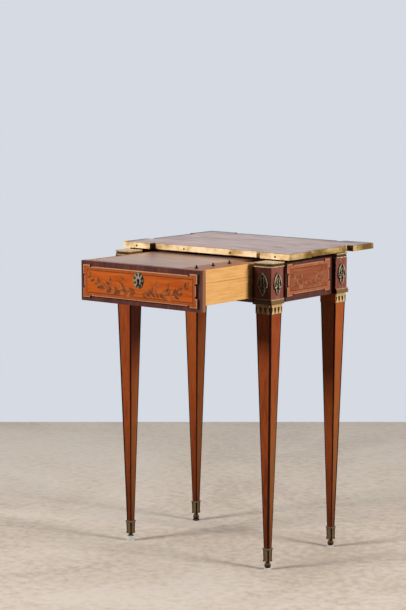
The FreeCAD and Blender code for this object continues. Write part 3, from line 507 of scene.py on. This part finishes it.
def scorched_veneer(name, tones):
    """Inlaid leaves: veneers of several tones, one half of each leaf shaded darker in hot sand."""
    finish, tree = new_finish(name)
    where = add(tree, "TexCoord").outputs["Object"]
    cloud = add(tree, "TexNoise", {"Vector": where, "Scale": 1 / (2.5 * MM), "Detail": 4.0}).outputs[0]
    side = add(tree, "Attribute", attribute_name="height").outputs["Fac"]
    shade = maths(tree, "MULTIPLY_ADD", cloud, 0.4, side)
    tint = add(tree, "ValToRGB", {0: shade}, stops=list(zip((0.20, 0.55, 0.95), tones))).outputs[0]
    dull = ranged(tree, cloud, low=0.32, high=0.46)
    surface(tree, Base_Color=tint, Roughness=dull, Specular_IOR_Level=0.2)
    return finish


LID_TONES = ["#84482A", "#9A5C36", "#AC6E44"]
GROUND_TONES = ["#46221C", "#60322A", "#744436"]
FINISH = {
    "tulipwood_veneer": leg_veneer(),
    "ebonised_stringing": plain_wood("ebonised_stringing", "Z", ["#1A0400", "#280802", "#1E0500"], 0.5, 0.05),
    "amaranth_ground": plain_wood("amaranth_veneer", "Z", GROUND_TONES, streak=1.0),
    # The last number of each gilt is its share of painted shade on faces to the front.
    "gilt_bronze": gilt_cast("gilt_bronze", "#DCB67C", "#3A2412", 0.44, 0.15, 0.62),
    "mount_bronze": gilt_cast("worn_gilt_mounts", "#C2AE8E", "#120A06", 0.48, 0.08, 0.82),
    "key_bronze": gilt_cast("rubbed_key_plate", "#A0927A", "#140C08", 0.48, 0.08, 0.0),
    # Painted shade on faces to the front; the hollow is the cove, with tarnish and painted shade.
    "cap_gilt": metal(
        "gilt_bronze_caps", "#DCC096", "#AC8A5A", 0.50, 9.0, bare=0.2, front=0.3,
        hollows=[(CAP_FOOT + 2.2 * MM, CAP_FOOT + 8.4 * MM, "#5A4420")],
    ),
    # Painted shade, almost black, on faces to the front; the hollow is the base's brown plate.
    "base_gilt": metal(
        "gilt_bronze_bases", "#D8B68A", "#A07C52", 0.50, 7.0, bare=0.15, front=0.86, shine=0.15,
        hollows=[(LEG_TOP - MM, LEG_TOP + 8.8 * MM, "#80603C")],
    ),
    # Painted shade: the jambs beside the drawer are near black.
    "dark_jamb": plain_wood("jamb_painted_shade", "Z", ["#0C0604", "#120905", "#180C07"], 0.5, 0.05),
    "brass_edging": edging_brass(),
    "knob_brass": metal("blackened_knob_brass", "#20160E", "#0C0805", 0.5, 2.5),
    "top_veneer": top_veneer(),
    "writing_veneer": plain_wood(
        "polished_writing_veneer", "X", ["#927062", "#AC8A7A", "#C09E8E"], 0.34, 0.25, 0.05, length=120.0
    ),
    "lid_veneer": plain_wood("cross_cut_lid_veneer", "Y", LID_TONES, 0.36, 0.1),
    "drawer_oak": drawer_wood(),
    "carcase_oak": plain_wood("carcase_oak", "X", ["#7A5632", "#8E6840", "#9E784E"], 0.55, 0.15),
    "lock_iron": metal("forged_lock_iron", "#5A5650", "#2E2A26", 0.45, 3.0),
    "patinated_bronze": metal(
        "patinated_bronze", "#9A8E76", "#5A4E3A", 0.42, 3.0, bare=0.6, arris=4.6, shine=0.1,
        hollows=[(0.0, SHOE_LOW, "#463824"), (SHOE_LOW, SHOE_TOP - 3 * MM, "#7A6044")],
    ),
    "glide_plastic": moulded("white_glide_plastic", "#DAD6CC", "#EFECE4", 0.42, 5.0),
    "glide_leather": moulded("dark_glide_leather", "#1E140E", "#33241A", 0.62, 1.5),
    "front_leaves": scorched_veneer("sand_shaded_front_leaves", ["#52260F", "#8A441A", "#CC6C2A"]),
    "side_leaves": scorched_veneer("sand_shaded_side_leaves", ["#6A3018", "#8C4A28", "#B46E46"]),
    # Painted shade inside the keyhole.
    "keyhole": moulded("keyhole_painted_shade", "#050403", "#100A07", 0.8, 2.0, 0.05),
    "nail": gilt_cast("iron_nail", "#2E1E0A", "#180E05", 0.7, 0.1, 0.0),
}
FRONT_FIELD = ["#B04A0C", "#CC5C16", "#DC6E20"]
FRONT_BAND = ["#A04A1C", "#B25822", "#C0662C"]
SIDE_FIELD = ["#86401F", "#9C5230", "#B06840"]
SIDE_BAND = ["#9C522C", "#B0643C", "#C0764A"]
PANELS = {
    "drawer_front_panel": panel_veneer(
        "front_marquetry", "drawer_front_panel", 0, FRONT_FIELD, FRONT_BAND, "#D8986C"
    ),
    "drawer_front_facing": facing_veneer(),
    "compartment_cover": cover_veneer(),
}
for side, panel, across in (
    ("right", "side_panel_right", 1), ("left", "side_panel_left", 1), ("back", "back_panel", 0),
):
    PANELS[panel] = panel_veneer(f"{side}_marquetry", panel, across, SIDE_FIELD, SIDE_BAND, "#C88E68")
    PANELS[f"apron_{side}"] = apron_veneer(f"{side}_apron_amaranth", f"apron_{side}", across)


# Surfaces

def grid_quads(rows, cols, close_cols=False):
    """Corner numbers of the quads of a grid of points; closed, its last column joins its first."""
    row, col = np.meshgrid(np.arange(rows - 1), np.arange(cols if close_cols else cols - 1), indexing="ij")
    next_row, next_col = row + 1, (col + 1) % cols
    corners = (row * cols + col, row * cols + next_col, next_row * cols + next_col, next_row * cols + col)
    return np.stack(corners, axis=-1).reshape(-1, 4)


def shell(points, height, close_cols=False):
    """A grid of points, rows by columns by 3, with the height attribute of each, as one part of a piece."""
    rows, cols = points.shape[:2]
    heights = np.broadcast_to(height, (rows, cols)).reshape(-1)
    return points.reshape(-1, 3), grid_quads(rows, cols, close_cols), heights


def joined(parts):
    """Several parts as one."""
    starts = np.cumsum([0] + [len(p[0]) for p in parts[:-1]])
    points = np.concatenate([p[0] for p in parts])
    quads = np.concatenate([p[1] + start for p, start in zip(parts, starts)])
    return points, quads, np.concatenate([p[2] for p in parts])


def laid(part, faces):
    """A part drawn as (u, v, w) in millimetres, laid on each face: origin + u across + v up + w out."""
    points, quads, heights = part
    origins, frames = (np.array(rows, float) for rows in zip(*faces))
    placed = origins[:, None, :] + np.einsum("nk,fkc->fnc", points * MM, frames)
    starts = np.arange(len(faces))[:, None, None] * len(points)
    return placed.reshape(-1, 3), (quads[None] + starts).reshape(-1, 4), np.tile(heights, len(faces))


# Points this near, in metres, are one, edges this short are dropped, and creases from this angle stay sharp.
SAME_POINT, NO_EDGE = 2e-6, 1e-7
CREASE = math.radians(38)


def make_piece(name, part, body, finish, nodes=(), closed=True):
    """A part as a smooth mesh that rides a body; closed shells are merged and turned to face outwards."""
    points, quads, heights = part
    mesh = bpy.data.meshes.new(name)
    mesh.from_pydata(points.tolist(), [], quads.tolist())
    mesh.attributes.new("height", "FLOAT", "POINT").data.foreach_set("value", heights.astype(np.float32))
    loose = bmesh.new()
    loose.from_mesh(mesh)
    bmesh.ops.remove_doubles(loose, verts=loose.verts, dist=SAME_POINT)
    bmesh.ops.dissolve_degenerate(loose, edges=loose.edges, dist=NO_EDGE)
    if closed:
        bmesh.ops.recalc_face_normals(loose, faces=loose.faces)
    loose.to_mesh(mesh)
    loose.free()
    mesh.shade_smooth()
    mesh.set_sharp_from_angle(angle=CREASE)
    mesh.materials.append(FINISH[finish])
    piece = bpy.data.objects.new(name, mesh)
    bpy.context.scene.collection.objects.link(piece)
    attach(piece, body)
    if nodes:
        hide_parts(*nodes)


def face(origin, across, up=(0, 0, 1)):
    """A face to lay ornament on: its origin and its directions across, up and out."""
    across, up = np.array(across, float), np.array(up, float)
    return np.array(origin, float), np.array([across, up, np.cross(across, up)])


def post_faces(reach, level):
    """The two outer faces of every post at a distance in millimetres from its axis, and at a level."""
    faces = []
    for side_x in (-1, 1):
        for side_y in (-1, 1):
            x, y = side_x * LEG_X, MIDDLE_Y + side_y * LEG_Y
            faces.append(face((x, y + side_y * reach * MM, level), (-side_y, 0, 0)))
            faces.append(face((x + side_x * reach * MM, y, level), (0, side_x, 0)))
    return faces


BEAD_SIDE = np.array([-1.0, -0.98, -0.78, -0.68, -0.38, 0.0, 0.38, 0.68, 0.78, 0.98, 1.0, 0.0])
BEAD_RISE = np.array([0.0, 0.3, 0.3, 0.7, 0.94, 1.0, 0.94, 0.7, 0.3, 0.3, 0.0, 0.0])


def bead(path, width, height):
    """A raised rib along a flat path: a half-round crest between two low flanges, narrowing to its ends.

    A point of the section lies side times the width there along the path's normal, and rise times the
    height out of the face; the width swells as a sine from end to end.
    """
    ahead = np.gradient(path, axis=0)
    ahead /= np.linalg.norm(ahead, axis=1, keepdims=True)
    normal = np.stack([-ahead[:, 1], ahead[:, 0]], axis=1)
    taper = 0.45 + 0.55 * np.sin(np.pi * np.linspace(0, 1, len(path))) ** 0.6
    flat = path[:, None, :] + normal[:, None, :] * (width * taper[:, None] * BEAD_SIDE)[..., None]
    rise = np.broadcast_to(height * BEAD_RISE, flat.shape[:2])
    points = np.concatenate([flat, rise[..., None]], axis=2)
    ends = [np.broadcast_to(points[i].mean(axis=0), (1, len(BEAD_SIDE), 3)) for i in (0, -1)]
    crest = np.broadcast_to(np.clip(BEAD_RISE / 0.7 - 0.43, 0, 1), (len(path) + 2, len(BEAD_SIDE)))
    return shell(np.concatenate([ends[0], points, ends[1]]), crest, close_cols=True)


def boss(centre, radius, height, rings=9, around=40):
    """A raised dome: rings out to the radius, its height falling as 1 - r squared."""
    out = np.linspace(0, 1, rings)[:, None]
    angle = np.linspace(0, 2 * np.pi, around, endpoint=False)[None, :]
    reach = radius * out
    rise = height * (1 - out**2)
    points = np.stack(
        [centre[0] + reach * np.cos(angle), centre[1] + reach * np.sin(angle), rise + 0 * angle], axis=2
    )
    return shell(points, np.clip(rise / height, 0, 1) + 0 * angle, close_cols=True)


def bend(start, through, end, count=14):
    """A flat path: the quadratic curve from start to end that passes through a point half way."""
    start, through, end = (np.array(p, float) for p in (start, through, end))
    control = 2 * through - (start + end) / 2
    t = np.linspace(0, 1, count)[:, None]
    return (1 - t) ** 2 * start + 2 * t * (1 - t) * control + t**2 * end


def volute(centre, radius, begin, turns, count=30):
    """A flat spiral: the radius shrinks evenly to a fifth while the angle runs from begin through turns."""
    t = np.linspace(0, 1, count)
    size = radius * (1 - 0.8 * t)
    angle = begin + 2 * np.pi * turns * t
    return np.stack([centre[0] + size * np.cos(angle), centre[1] + size * np.sin(angle)], axis=1)


def post_mount():
    """Openwork leaf on the posts: a lyre of two scrolls under a bud, and a drawn-out pendant below.

    Each scroll is an arc that spreads downwards and rolls in as a volute, with a lesser arc inside it; arcs
    close the pendant to its tip, domes stand on its middle line, and the left side mirrors the right. All
    lies on a thin dark ground, painted shade with some patina for the piercings and round the mount: a fan
    from the middle to an edge a little outside the scrolls.
    """
    tall = 3.2
    ribs = [
        (bend((2.4, 22.0), (9.8, 12.0), (13.2, -1.5)), 2.9),
        (volute((7.2, -3.2), 6.0, 0.1, -0.85), 2.4),
        (bend((5.6, -9.5), (5.8, -15.5), (1.6, -22.5)), 2.4),
        (bend((1.6, 15.5), (4.4, 8.0), (2.4, 1.0)), 2.2),
    ]
    parts = [bead(path * np.array([flip, 1]), width, tall) for path, width in ribs for flip in (1, -1)]
    spine = ((23.4, 2.8), (-14.0, 2.4), (-24.6, 1.8))
    parts += [boss((0, level), radius, tall) for level, radius in spine]
    edge = np.array([
        (0, 26.6), (4.8, 25.2), (10.0, 18.5), (14.0, 8.5), (16.4, -2.0), (14.8, -9.0), (9.4, -13.0),
        (7.0, -19.5), (0, -27.0),
    ])
    edge = np.concatenate([edge, edge[-2:0:-1] * np.array([-1, 1])])
    rings = np.array([0.0, 0.98, 1.0])[:, None, None] * edge
    # The dark ground: painted shade in the piercings and round the mount.
    ground = 0.4
    rise = np.broadcast_to(np.array([ground, ground, 0.0])[:, None, None], (3, len(edge), 1))
    parts.append(shell(np.concatenate([rings, rise], axis=2), 0.0, close_cols=True))
    return joined(parts)


def strip(profile, half, height):
    """A straight moulding: a profile of levels and rises carried across a face, shut at both ends."""
    across = np.array([-half, -half, half, half])[:, None]
    shut = np.array([0.0, 1.0, 1.0, 0.0])[:, None]
    points = np.stack(
        [across + 0 * profile[:, 0], profile[:, 0] + 0 * across, profile[:, 1] * shut], axis=2
    )
    return shell(points, height)


def capital():
    """Band of fillets and a bead over three drops on a dark plate, each drop a half cone, widest below."""
    low, high = 15.5, 22.5
    proud, around = 1.9, 18
    band = np.array([
        (low, 0.0), (low, 1.7), (low + 1.2, 1.7), (low + 1.6, 0.7), (low + 2.4, 1.5), (low + 3.4, 1.9),
        (low + 4.4, 1.5), (low + 5.0, 0.8), (low + 5.3, 1.6), (high, 1.8), (high, 0.0),
    ])
    plate = np.array([(0.4, 0.0), (0.4, 0.5), (low, 0.5), (low, 0.0)])
    parts = [strip(band, 19.5, np.clip(band[:, 1] / 1.6, 0, 1)), strip(plate, 19.3, 0.0)]
    down = np.array([0.0, 0.1, 0.45, 0.65, 0.78, 0.9, 0.97, 1.0])
    swell = np.array([2.7, 2.8, 3.4, 4.4, 5.6, 6.2, 6.2, 0.0])
    turn = np.linspace(0, 2 * np.pi, around, endpoint=False)
    for middle in (-13.1, 0.0, 13.1):
        u = middle + swell[:, None] * np.cos(turn)
        w = proud * np.minimum(swell[:, None] / 3.6, 1.0) * np.maximum(np.sin(turn), 0)
        v = (low - low * down)[:, None] + 0 * turn
        drop = np.stack([u, v, w], axis=2)
        cap = np.broadcast_to([[middle, low, 0.0]], (1, around, 3))
        height = np.concatenate([np.zeros((1, around)), np.clip(w / proud, 0, 1)])
        parts.append(shell(np.concatenate([cap, drop]), height, close_cols=True))
    return joined(parts)


LOBES = 8


def lobed_oval(angle, half_u, half_v, depth=0.07):
    """A lobed oval: its size falls by depth times how far the angle is from a lobe's crown."""
    size = 1 - depth * (1 - np.abs(np.cos(LOBES * angle / 2)))
    return np.stack([half_u * size * np.sin(angle), half_v * size * np.cos(angle)], axis=-1)


def keyhole_line(angle, radius=2.9, length=16.0):
    """Keyhole round the angle from upright: a circle above and a straight-sided slot below it."""
    x, y = np.sin(angle), np.cos(angle)
    slot = radius * 0.85
    reach = np.minimum(slot / np.maximum(np.abs(x), 1e-6), (length - radius) / np.maximum(-y, 1e-6))
    size = np.where(y < 0, np.maximum(reach, radius), radius)
    return np.stack([size * x, size * y], axis=-1)


def key_plate():
    """Cartouche round the keyhole: rings from the keyhole's edge to a lobed oval, raised as two mouldings.

    It is rubbed bright round the keyhole and on the crowns of its lobes; painted light falls on its left
    side and painted shade along its right edge.
    """
    angle = np.linspace(0, 2 * np.pi, 96, endpoint=False)
    inner, outer = keyhole_line(angle), lobed_oval(angle, 15.75, 18.75)
    steps = np.array([0.0, 0.0, 0.06, 0.16, 0.30, 0.42, 0.5, 0.62, 0.74, 0.84, 0.92, 0.97, 1.0])
    rises = np.array([0.0, 1.0, 1.4, 1.7, 1.7, 1.2, 0.5, 0.6, 1.4, 1.8, 1.6, 0.9, 0.0])
    bright = np.array([0.0, 0.0, 0.3, 0.8, 0.9, 0.7, 0.4, 0.4, 0.6, 0.7, 0.5, 0.1, 0.0])
    ring = inner[None] * (1 - steps)[:, None, None] + outer[None] * steps[:, None, None]
    between = np.sin(np.pi * np.clip((steps - 0.24) / 0.6, 0, 1))
    flute = 1 - 0.35 * (0.5 - 0.5 * np.cos(2 * LOBES * angle))[None, :] * between[:, None]
    rise = rises[:, None] * flute
    points = np.concatenate([ring, rise[..., None]], axis=2)
    # Painted light on the left side of the plate and painted shade along its right edge.
    crowns = (0.5 + 0.5 * np.cos(LOBES * angle)) * np.clip(0.95 - 0.6 * np.sin(angle - 0.4), 0, 1.2)
    rubbed = np.where(steps[:, None] < 0.36, 1.0, 1.5 * crowns)
    return shell(points, np.clip(bright[:, None] * rubbed, 0, 1), close_cols=True)


def key_shadow():
    """Painted shade behind the key plate.

    A dark fan from the keyhole's middle to its edge, just off the panel.
    """
    around, off_panel = 48, 0.15
    shaded_rim = keyhole_line(np.linspace(0, 2 * np.pi, around, endpoint=False), 3.0, 16.2)
    edge = np.concatenate([shaded_rim, np.full((around, 1), off_panel)], axis=1)
    middle = np.broadcast_to([0.0, -2.5, off_panel], edge.shape)
    return shell(np.stack([middle, edge]), 0.0, close_cols=True)


def turned(profile, around=28):
    """A lathe form: the profile's radius and level spun once round the upright axis, u and w flat, v up."""
    radius, level = np.array(profile, float).T
    angle = np.linspace(0, 2 * np.pi, around, endpoint=False)
    points = np.stack(
        [radius[:, None] * np.cos(angle), level[:, None] + 0 * angle, radius[:, None] * np.sin(angle)], axis=2
    )
    return shell(points, np.clip(radius / radius.max(), 0, 1)[:, None], close_cols=True)


def spray(stem, spots, size, seed, along=9, across=5):
    """Leaves in pairs along a stem, all at once: each is a lens, half width b sin(pi a), bent to one side.

    A leaf grows from its spot on the stem, leaning off the stem's direction to either side, and stands
    off the face by a hair, a little more along its midrib. Size, lean and tone vary from leaf to leaf.
    """
    spots = np.asarray(spots)
    ahead = np.gradient(stem, axis=0)
    pick = np.round(spots * (len(stem) - 1)).astype(int)
    root = np.repeat(stem[pick], 2, axis=0)
    heading = np.repeat(np.arctan2(ahead[pick, 1], ahead[pick, 0]), 2)
    side = np.tile([1.0, -1.0], len(spots))
    vary = np.random.default_rng(seed).uniform(-1, 1, (3, len(root)))
    scale = (np.repeat(size * (1.05 - 0.4 * spots), 2) * (1 + 0.3 * vary[0]))[:, None, None]
    a = np.linspace(0, 1, along)[None, :, None]
    b = np.linspace(-1, 1, across)[None, None, :]
    length = scale * a
    width = scale * 0.27 * b * np.sin(np.pi * a) ** 0.8
    curl = -side[:, None, None] * 0.16 * scale * a**2
    turn = (heading + side * (0.75 + 0.35 * vary[1]))[:, None, None]
    u = root[:, 0, None, None] + length * np.cos(turn) - (width + curl) * np.sin(turn)
    v = root[:, 1, None, None] + length * np.sin(turn) + (width + curl) * np.cos(turn)
    hair = 0.05
    w = hair + hair * (1 - b**2) * np.sin(np.pi * a) + 0 * length
    points = np.stack([u, v, w], axis=3).reshape(len(root), -1, 3)
    tone = (0.3 + 0.3 * vary[2])[:, None, None]
    shade = np.broadcast_to((b + 1) / 2 * 0.3 + tone + 0 * length, u.shape).reshape(-1)
    quads = grid_quads(along, across)[:, ::-1] + np.arange(len(root))[:, None, None] * along * across
    return points.reshape(-1, 3), quads.reshape(-1, 4), shade


def stem_line(stem, width):
    """A flat strip along a stem, tapering to a third of its width, just off the face."""
    ahead = np.gradient(stem, axis=0)
    ahead /= np.linalg.norm(ahead, axis=1, keepdims=True)
    normal = np.stack([-ahead[:, 1], ahead[:, 0]], axis=1)
    half = np.linspace(width, width / 3, len(stem))[:, None]
    off_face = np.full((len(stem), 1), 0.06)
    sides = [np.concatenate([stem + normal * half * flip, off_face], axis=1) for flip in (-1, 1)]
    return shell(np.stack(sides), 0.1)


def branches(half_u, half_v, leaf, pairs, seed):
    """Two leafy branches that spring from the middle of a panel's foot and sweep out and up to its ends.

    Each is a power curve with a slow wave, and twigs rise from it in short arcs.
    """
    t = np.linspace(0, 1, 60)
    foot = -0.66 * half_v
    rise = foot + half_v * t**2.4 + 0.16 * half_v * np.sin(2.2 * np.pi * t)
    stem = np.stack([4.0 + (half_u - 14.0) * t, rise], axis=1)
    parts = [boss((0, foot), 2.2, 0.12)]
    for count, flip in enumerate((np.array([1, 1]), np.array([-1, 1]))):
        parts.append(spray(stem * flip, np.linspace(0.05, 0.98, pairs), leaf, seed + count))
        parts.append(stem_line(stem * flip, 0.7))
        for twig, share in enumerate((0.16, 0.42, 0.66)):
            root = stem[int(share * (len(stem) - 1))]
            tip = root + np.array([0.16 * half_u, (0.95 - 0.7 * share) * half_v])
            arc = bend(root, (root + tip) / 2 + np.array([0.05 * half_u, -0.14 * half_v]), tip, 24) * flip
            parts.append(spray(arc, np.linspace(0.2, 1.0, 4), 0.8 * leaf, seed + 10 + 4 * twig + count))
            parts.append(stem_line(arc, 0.5))
    return joined(parts)


# Pieces

make_piece("mounts_on_posts", laid(post_mount(), post_faces(POST_HALF, middle_of("post_mounts").z)),
           "carcass", "mount_bronze", ["post_mounts"])
make_piece("capitals_on_legs", laid(capital(), post_faces(BLOCK_HALF, SHAFT_TOP)),
           "carcass", "gilt_bronze", ["leg_capitals"])

FRONT_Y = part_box("drawer_front_panel")[0].y
key_face = [face((0, FRONT_Y, middle_of("escutcheon").z), (1, 0, 0))]
make_piece("key_plate", laid(key_plate(), key_face), "drawer", "key_bronze", ["escutcheon"])
make_piece("keyhole_shadow", laid(key_shadow(), key_face), "drawer", "keyhole", closed=False)

# Radius and level of the turned knobs, from foot to crown.
KNOB = [(0, 0), (4.9, 0), (5.0, 0.5), (4.5, 0.9), (3.0, 1.9), (1.9, 3.1), (1.5, 4.0), (1.6, 4.6), (2.0, 5.3),
        (1.95, 6.0), (1.4, 6.6), (0.6, 6.95), (0, 7.0)]
for spot in ("front", "middle", "back"):
    centre = middle_of(f"lid_knob_{spot}")
    stand = [face((centre.x, centre.y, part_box(f"lid_knob_{spot}")[0].z), (1, 0, 0))]
    make_piece(f"turned_knob_{spot}", laid(turned(KNOB), stand), f"lid_{spot}", "knob_brass",
               [f"lid_knob_{spot}"])

# Small domed nails in the edging: one on each front ear, and two between the ears at the front and the back,
# where the edging is stepped in.
edge_low, edge_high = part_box("top_edging")
NAIL_Z = edge_low.z + 5.7 * MM
EAR_NAILS, EDGE_NAILS = (-0.204, 0.206), (-0.066, 0.071)
nail_faces = [face((x, edge_low.y, NAIL_Z), (1, 0, 0)) for x in EAR_NAILS]
for x in EDGE_NAILS:
    nail_faces.append(face((x, edge_low.y + TOP_STEP * MM, NAIL_Z), (1, 0, 0)))
    nail_faces.append(face((x, edge_high.y - TOP_STEP * MM, NAIL_Z), (-1, 0, 0)))
nail_head = boss((0, 0), 2.6, 0.5, rings=4, around=12)
make_piece("edging_nails", laid(nail_head, nail_faces), "sliding_top", "nail")

front_face = [face((0, FRONT_Y, middle_of("drawer_front_panel").z), (1, 0, 0))]
make_piece("front_leaf_inlay", laid(branches(154.0, 29.0, 17.0, 14, 3), front_face), "drawer",
           "front_leaves", closed=False)
for name, node, across in (("right", "side_panel_right", (0, 1, 0)), ("left", "side_panel_left", (0, -1, 0)),
                           ("back", "back_panel", (-1, 0, 0))):
    low, high = (np.array(corner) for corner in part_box(node))
    out = np.cross(np.array(across), (0, 0, 1))
    middle = (low + high) / 2 + out * (high - low) / 2
    half = np.abs(np.array(across)) @ (high - low) / 2 / MM
    make_piece(f"{name}_leaf_inlay", laid(branches(half - 12.0, 27.0, 13.0, 8, 5), [face(middle, across)]),
               "carcass", "side_leaves", closed=False)


# Materials of the nodes that show as they are

SLOT_OF = {entry["node"]: entry["material_slot"] for entry in frame["record"]["subparts"]}
FINISH_OF = {
    "post_cap": "cap_gilt", "post_base": "base_gilt", "drawer_jamb": "dark_jamb", "lid_front": "lid_veneer",
    "lid_middle": "lid_veneer", "lid_back": "lid_veneer",
}
for name, item in frame["nodes"].items():
    finish = PANELS.get(name) or FINISH[SLOT_OF[name]]
    for start, key in FINISH_OF.items():
        if name.startswith(start):
            finish = FINISH[key]
    item.data.materials.clear()
    item.data.materials.append(finish)


# Stage, light and camera

AIM = Vector((-0.05133, 0.00904, 0.58269))
EYE = Vector((2.66656, -3.42020, 1.17081))
AWAY = Vector((AIM.x - EYE.x, AIM.y - EYE.y, 0)).normalized()
ASIDE = Vector((-AWAY.y, AWAY.x, 0))
PALE = "#D5DAE3"


def stage_sheet(name, corners, finish):
    """A flat stage surface through its corners."""
    mesh = bpy.data.meshes.new(name)
    mesh.from_pydata([tuple(c) for c in corners], [], [tuple(range(len(corners)))])
    mesh.materials.append(finish)
    sheet = bpy.data.objects.new(name, mesh)
    bpy.context.scene.collection.objects.link(sheet)
    return sheet


def seen_light(tree):
    """1 for the rays that look at a surface, straight, mirrored or through glass."""
    path = add(tree, "LightPath").outputs
    shown = maths(tree, "MAXIMUM", path["Is Camera Ray"], path["Is Glossy Ray"])
    return maths(tree, "MAXIMUM", shown, path["Is Transmission Ray"])


# Pale concrete, stained and gritty, with painted light that makes it lighter behind the table.
# Far from the table it fades to the backdrop's tone.
floor_finish, tree = new_finish("pale_floor")
where = add(tree, "TexCoord").outputs["Object"]
stains = add(tree, "TexNoise", {
    "Vector": where, "Scale": 1.7, "Detail": 7.0, "Roughness": 0.66, "Distortion": 0.7,
}).outputs[0]
grit = add(tree, "TexNoise", {"Vector": where, "Scale": 48.0, "Detail": 6.0, "Roughness": 0.6}).outputs[0]
mottle = maths(tree, "MULTIPLY_ADD", grit, 0.7, stains)
pale = add(
    tree, "ValToRGB", {0: mottle}, stops=[(0.70, "#CCBAA7"), (0.85, "#DFCEBC"), (1.0, "#E9DBCC")]
).outputs[0]
# Painted light: lighter with distance behind the table.
depth = add(tree, "VectorMath", {0: where, 1: AWAY}, operation="DOT_PRODUCT").outputs["Value"]
painted_far_light = ranged(tree, depth, 0.3, 1.3, 0.0, 0.35)
pale = blended(tree, painted_far_light, pale, colour("#FFF4E6"))
tint = blended(tree, seen_light(tree), colour("#5A544C"), pale)
concrete = add(
    tree, "BsdfPrincipled", {"Base Color": tint, "Roughness": 0.75, "Specular IOR Level": 0.2}
).outputs[0]
span = add(tree, "VectorMath", {0: where}, operation="LENGTH").outputs["Value"]
far = ranged(tree, span, 2.6, 4.2)
share = maths(tree, "MULTIPLY", far, seen_light(tree))
glow = add(tree, "Emission", {"Color": colour(PALE), "Strength": 1.0}).outputs[0]
ground = add(tree, "MixShader", {0: share, 1: concrete, 2: glow})
add(tree, "OutputMaterial", {"Surface": ground.outputs[0]})

wall_finish, tree = new_finish("pale_backdrop")
glow = add(tree, "Emission", {"Color": colour(PALE), "Strength": 1.0}).outputs[0]
clear = add(tree, "BsdfTransparent").outputs[0]
behind = add(tree, "NewGeometry").outputs["Backfacing"]
wall = add(tree, "MixShader", {0: behind, 1: glow, 2: clear})
add(tree, "OutputMaterial", {"Surface": wall.outputs[0]})

FLOOR_REACH = 9.0
WALL_DISTANCE, WALL_HALF, WALL_HEIGHT = 5.88, 6.0, 5.0
floor_corners = [Vector((x, y, 0)) * FLOOR_REACH for x, y in ((-1, -1), (1, -1), (1, 1), (-1, 1))]
stage_sheet("floor", floor_corners, floor_finish)
wall_foot = Vector((EYE.x, EYE.y, 0)) + AWAY * WALL_DISTANCE
aside, up = ASIDE * WALL_HALF, Vector((0, 0, WALL_HEIGHT))
wall_corners = [wall_foot - aside, wall_foot - aside + up, wall_foot + aside + up, wall_foot + aside]
backdrop = stage_sheet("backdrop", wall_corners, wall_finish)
backdrop.visible_diffuse = False
backdrop.visible_shadow = False

world = bpy.data.worlds.new("studio")
world.use_nodes = True
tree = world.node_tree
tree.nodes.clear()
level = ranged(tree, seen_light(tree), low=0.04, high=1.0)
sky = add(tree, "Background", {"Color": colour(PALE), "Strength": level})
add(tree, "OutputWorld", {"Surface": sky.outputs[0]})
bpy.context.scene.world = world


def soft_lamp(name, heading, lift, distance, size, power):
    """A square soft lamp aimed at the table: heading is its side on the floor plan, lift its angle up."""
    flat = Vector((*heading, 0)).normalized()
    place = AIM + (flat * math.cos(lift) + Vector((0, 0, math.sin(lift)))) * distance
    lamp = bpy.data.lights.new(name, "AREA")
    lamp.shape = "SQUARE"
    lamp.size = size
    lamp.energy = power
    lamp_object = bpy.data.objects.new(name, lamp)
    lamp_object.location = place
    lamp_object.rotation_euler = (AIM - place).to_track_quat("-Z", "Y").to_euler()
    bpy.context.scene.collection.objects.link(lamp_object)


soft_lamp("lamp_left_front", (-0.46, -0.888), math.radians(26), 4.0, 0.96, 126.0)
soft_lamp("lamp_right", (0.993, 0.118), math.radians(21), 4.0, 0.96, 126.0)
soft_lamp("lamp_overhead", (0.0, 1.0), math.radians(80), 2.6, 1.6, 10.0)

# The camera that was fitted to the photograph, with its sensor and focal length in millimetres.
lens = bpy.data.cameras.new("photo_camera")
lens.sensor_width = 36.0
lens.lens = 109.48
camera = bpy.data.objects.new("photo_camera", lens)
camera.location = EYE
camera.rotation_euler = (AIM - EYE).to_track_quat("-Z", "Y").to_euler()
bpy.context.scene.collection.objects.link(camera)
bpy.context.scene.camera = camera
bpy.context.scene.view_settings.view_transform = "Standard"

bpy.context.view_layer.update()
